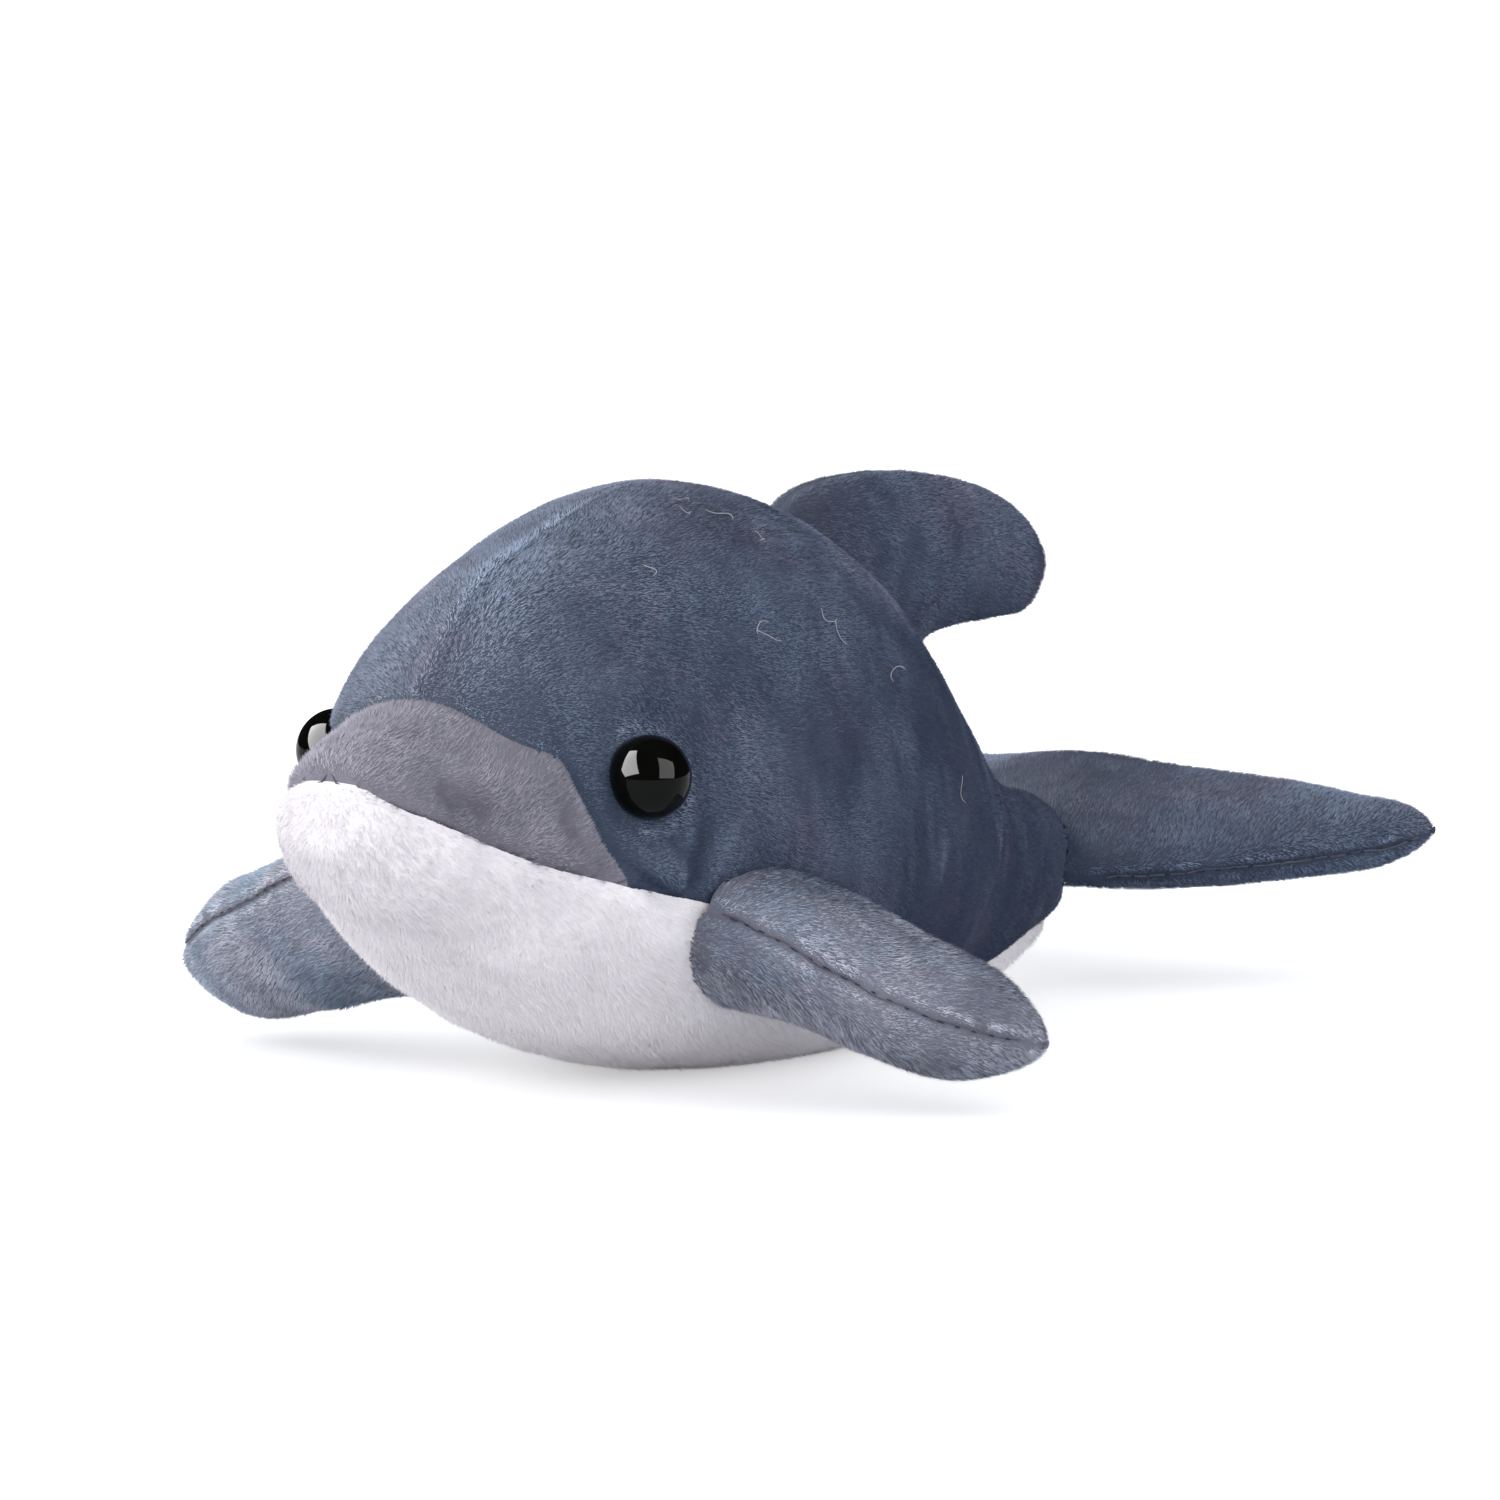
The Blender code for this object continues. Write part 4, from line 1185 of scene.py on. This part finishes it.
# %% Lint
lint_look = cloth_material("lint", (0.30, 0.26, 0.25), (0.55, 0.52, 0.54), 3.0)
LINT = [(0.391, 0.955), (0.379, 0.938), (0.41, 0.93), (0.449, 0.764), (0.458, 0.74)]
LINT += [(0.366, 0.765), (0.371, 0.746), (0.30, 0.86), (0.52, 0.66), (0.60, 0.45), (0.43, 0.89)]
rng = np.random.default_rng(3)
curls = []
for place in LINT:
    centre = on_flank(*place)
    out = unit(np.array([centre[0], 0, centre[2] - 0.35 * BODY_HEIGHT]))
    side = unit(np.cross(out, rng.standard_normal(3)))
    up = np.cross(out, side)
    bend = rng.uniform(1.2, 3.0)
    size = rng.uniform(2.5, 5.5) * MM / bend
    t = np.linspace(0, bend, 14)[:, None]
    curl = size * (np.cos(t) * side + np.sin(t) * up)
    curl -= curl.mean(axis=0)
    curls.append(centre + curl + out * (0.6 + 0.25 * np.sin(3 * t)) * MM)
points, triangles = tube_mesh(curls, 0.04 * MM, sides=4)
add_piece("lint", points, triangles, [lint_look])
print("lint fibres", len(curls))

# %% [markdown]
# ## Eyes
#
# The eyes are turned domes of black plastic, polished like glass, with a thin rim
# where they meet the cloth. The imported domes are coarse, so finer ones stand on the
# same seats and mirror the room smoothly.

# %% Eyes
eye_black = bpy.data.materials.new("eye_black")
eye_black.use_nodes = True
nodes, links = eye_black.node_tree.nodes, eye_black.node_tree.links
shader = nodes["Principled BSDF"]
shader.inputs["Roughness"].default_value = 0.04
shader.inputs["IOR"].default_value = 1.42
shader.inputs["Specular IOR Level"].default_value = 0.16
place = nodes.new("ShaderNodeTexCoord")
swirl = nodes.new("ShaderNodeTexNoise")
swirl.inputs["Scale"].default_value = 300
tone = nodes.new("ShaderNodeValToRGB")
tone.color_ramp.elements[0].color = (0.001, 0.001, 0.001, 1)
tone.color_ramp.elements[1].color = (0.003, 0.0035, 0.0025, 1)
links.new(place.outputs["Object"], swirl.inputs["Vector"])
links.new(swirl.outputs["Fac"], tone.inputs["Fac"])
links.new(tone.outputs["Color"], shader.inputs["Base Color"])


def turned_dome(centre, out, profile, turns=96):
    """A profile of (radius, height) points turned about the eye's axis."""
    side = unit(np.cross(out, np.array([0, 0, 1.0])))
    up = np.cross(side, out)
    angle = 2 * math.pi * np.arange(turns) / turns
    round_it = np.cos(angle)[:, None] * side + np.sin(angle)[:, None] * up
    rings = [centre + out * h + round_it * r for r, h in profile]
    points = np.concatenate(rings)
    triangles = grid_triangles(len(profile), turns)
    normals = point_normals(points, triangles)
    if np.sum(normals * (points - centre)) < 0:
        triangles = triangles[:, ::-1]
    return points, triangles


SHANK_RADIUS, SHANK_LENGTH = 1.3 * MM, 7.0 * MM
RIM_LIP = 0.2 * MM
steps = np.linspace(0.004, 1, 40)
profile = [
    (
        EYE_RADIUS * math.sin(math.pi / 2 * f),
        GAP + EYE_SKIRT + EYE_DOME * math.cos(math.pi / 2 * f),
    )
    for f in steps
]
profile += [(EYE_RADIUS, GAP), (EYE_RADIUS - RIM_LIP, GAP - RIM_LIP)]
profile += [(SHANK_RADIUS, GAP - RIM_LIP), (SHANK_RADIUS, -SHANK_LENGTH), (0.01 * MM, -SHANK_LENGTH)]
for label, (centre, out) in EYES.items():
    points, triangles = turned_dome(centre, out, profile)
    eye = add_piece(f"eye_{label}_dome", points, triangles, [eye_black])
    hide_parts(f"eye_{label}")
    print(eye.name, len(triangles))

# %% [markdown]
# ## Filling and washers
#
# The washers and the white fibre filling are inside, where only a cut would show
# them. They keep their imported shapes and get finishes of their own.

# %% Hidden finishes
washer_look = cloth_material("washer_nylon", (0.70, 0.70, 0.67), (0.78, 0.78, 0.75), 3.0)
washer_look.node_tree.nodes["Principled BSDF"].inputs["Roughness"].default_value = 0.5
fill_look = cloth_material("fibre_filling", (0.78, 0.78, 0.77), (0.9, 0.9, 0.89), 4.0)
for node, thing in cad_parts.items():
    look = washer_look if "washer" in node else fill_look if "stuffing" in node else None
    if look:
        for place in thing.material_slots:
            place.material = look
print("washer and filling finishes:", washer_look.name, fill_look.name)

# %% [markdown]
# ## Floor, backdrop and light
#
# The photo was taken on a white table that runs into a white background. A bright lamp
# on the table would wash out the toy. So the floor has a white colour and a faint glow
# that only the camera sees, which leaves the toy's shadow on it.

# %% Floor
floor_mesh = bpy.data.meshes.new("floor")
FAR = 6.0
floor_mesh.from_pydata(
    [(-FAR, -FAR, 0), (FAR, -FAR, 0), (FAR, FAR, 0), (-FAR, FAR, 0)], [], [(0, 1, 2, 3)]
)
floor = bpy.data.objects.new("floor", floor_mesh)
bpy.context.scene.collection.objects.link(floor)
floor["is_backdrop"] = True
floor_look = bpy.data.materials.new("floor_white")
floor_look.use_nodes = True
nodes, links = floor_look.node_tree.nodes, floor_look.node_tree.links
shader = nodes["Principled BSDF"]
shader.inputs["Base Color"].default_value = (0.86, 0.86, 0.87, 1)
shader.inputs["Roughness"].default_value = 1.0
shader.inputs["Specular IOR Level"].default_value = 0.0
glow = nodes.new("ShaderNodeEmission")
glow.inputs["Strength"].default_value = 0.45
rays = nodes.new("ShaderNodeLightPath")
nothing = nodes.new("ShaderNodeEmission")
nothing.inputs["Strength"].default_value = 0.0
choose = nodes.new("ShaderNodeMixShader")
both = nodes.new("ShaderNodeAddShader")
links.new(rays.outputs["Is Camera Ray"], choose.inputs["Fac"])
links.new(nothing.outputs["Emission"], choose.inputs[1])
links.new(glow.outputs["Emission"], choose.inputs[2])
links.new(shader.outputs["BSDF"], both.inputs[0])
links.new(choose.outputs["Shader"], both.inputs[1])
links.new(both.outputs["Shader"], nodes["Material Output"].inputs["Surface"])
floor_mesh.materials.append(floor_look)
print("floor:", 2 * FAR, "m wide")

# %% [markdown]
# ## Soft light from all round
#
# A white studio lights the toy from everywhere. The world gives that light at a plain
# level. The camera and shiny things see it as pure white instead, which a light path
# node can tell apart, so that the background needs no extra light on the toy.

# %% World
world = bpy.data.worlds.new("studio")
bpy.context.scene.world = world
world.use_nodes = True
nodes, links = world.node_tree.nodes, world.node_tree.links
fill = nodes["Background"]
fill.inputs["Color"].default_value = (0.93, 0.96, 1.0, 1)
fill.inputs["Strength"].default_value = 1.0
white = nodes.new("ShaderNodeBackground")
white.inputs["Strength"].default_value = 1.0
rays = nodes.new("ShaderNodeLightPath")
seen = nodes.new("ShaderNodeMath")
seen.operation = "MAXIMUM"
choose = nodes.new("ShaderNodeMixShader")
links.new(rays.outputs["Is Camera Ray"], seen.inputs[0])
links.new(rays.outputs["Is Glossy Ray"], seen.inputs[1])
seen_through = nodes.new("ShaderNodeMath")
seen_through.operation = "MAXIMUM"
links.new(seen.outputs["Value"], seen_through.inputs[0])
links.new(rays.outputs["Is Transmission Ray"], seen_through.inputs[1])
links.new(seen_through.outputs["Value"], choose.inputs["Fac"])
links.new(fill.outputs["Background"], choose.inputs[1])
links.new(white.outputs["Background"], choose.inputs[2])
links.new(choose.outputs["Shader"], nodes["World Output"].inputs["Surface"])
print("fill light:", round(fill.inputs["Strength"].default_value, 2))

# %% [markdown]
# ## Two wide lamps
#
# One soft lamp from the upper left and one from the front give the toy its round
# shading and a faint shadow. Area lamps would do it too. Suns with a wide angle stand
# in for big soft boxes, and their strength is the same over the whole scene.

# %% Lamps
def add_sun(name, towards, strength, spread, colour):
    """A soft lamp that shines towards a direction."""
    lamp = bpy.data.lights.new(name, "SUN")
    lamp.energy = strength
    lamp.angle = math.radians(spread)
    lamp.color = colour
    made = bpy.data.objects.new(name, lamp)
    bpy.context.scene.collection.objects.link(made)
    made.rotation_euler = Vector(towards).to_track_quat("-Z", "Y").to_euler()
    return made


right = Vector((math.cos(ROUND), math.sin(ROUND), 0))
away = Vector((-math.sin(ROUND), math.cos(ROUND), 0))
down = Vector((0, 0, -1))
key = add_sun("key", right + away * 0.5 + down * 0.65, 1.1, 55, (1.0, 0.98, 0.96))
front = add_sun("front", away + down * 0.05, 1.15, 60, (1.0, 0.99, 1.0))
key.visible_glossy = front.visible_glossy = False
bpy.context.scene.view_settings.view_transform = "Standard"

# %% [markdown]
# ## The room in the eyes
#
# The eyes mirror the room in front of the toy: a dark room with a bright window and a
# dimmer one. A picture of a room could be wrapped round the world, but plain sheets
# put each window just where the eye should show it. Only mirror-like rays see them,
# so they don't light the cloth.

# %% The room that the eyes mirror
def room_look(name, strength):
    """A plain glow for a wall or a window of the room."""
    made = bpy.data.materials.new(name)
    made.use_nodes = True
    nodes, links = made.node_tree.nodes, made.node_tree.links
    shine = nodes.new("ShaderNodeEmission")
    shine.inputs["Strength"].default_value = strength
    links.new(shine.outputs["Emission"], nodes["Material Output"].inputs["Surface"])
    return made


def room_sheet(name, points, faces, strength):
    """A flat or bent sheet that only mirror-like rays see."""
    mesh = bpy.data.meshes.new(name)
    mesh.from_pydata([tuple(p) for p in points], [], faces)
    mesh.materials.append(room_look(name, strength))
    sheet = bpy.data.objects.new(name, mesh)
    bpy.context.scene.collection.objects.link(sheet)
    sheet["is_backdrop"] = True
    sheet.visible_camera = sheet.visible_diffuse = sheet.visible_shadow = False
    sheet.visible_transmission = sheet.visible_volume_scatter = False
    return sheet


def seen_in_eye(x, y, far):
    """The place that the left eye mirrors at x right and y up, in shares of its radius."""
    to_lens, screen_right = np.array(back_to_lens), np.array(right)
    screen_up = np.cross(to_lens, screen_right)
    deep = math.sqrt(1 - x * x - y * y)
    normal = screen_right * x + screen_up * y + to_lens * deep
    return EYE_CENTRE + far * (2 * deep * normal - to_lens)


ROOM_RADIUS, WALL_ROWS, WALL_COLUMNS = 4, 9, 37
WALL_LEAN, WALL_TURN = 11.25, 10  # degrees from one row or column to the next
wall = []
for i in range(WALL_ROWS):
    for j in range(WALL_COLUMNS):
        lean = math.radians(i * WALL_LEAN)
        turn = ROUND - math.pi / 2 + math.radians(-180 + WALL_TURN * j)
        wall.append(
            (
                ROOM_RADIUS * math.cos(lean) * math.cos(turn),
                ROOM_RADIUS * math.cos(lean) * math.sin(turn),
                ROOM_RADIUS * math.sin(lean),
            )
        )
faces = []
for i in range(WALL_ROWS - 1):
    for j in range(WALL_COLUMNS - 1):
        corner, above_it = WALL_COLUMNS * i + j, WALL_COLUMNS * (i + 1) + j
        faces.append((corner, corner + 1, above_it + 1, above_it))
room_sheet("room_wall", wall, faces, 0.02)
window = [(-0.63, 0.53), (-0.28, 0.62), (-0.23, 0.09), (-0.63, -0.02)]
room_sheet("window", [seen_in_eye(x, y, 2.5) for x, y in window], [(0, 1, 2, 3)], 34)
far_window = [(0.20, 0.45), (0.55, 0.35), (0.58, -0.02), (0.24, -0.02)]
room_sheet("far_window", [seen_in_eye(x, y, 2.5) for x, y in far_window], [(0, 1, 2, 3)], 8)
print("room wall:", len(faces), "faces")

# %% [markdown]
# ## Sizes and the end
#
# The looks stay within the solids' box, apart from the pile that stands proud.

# %% Sizes
low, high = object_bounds()
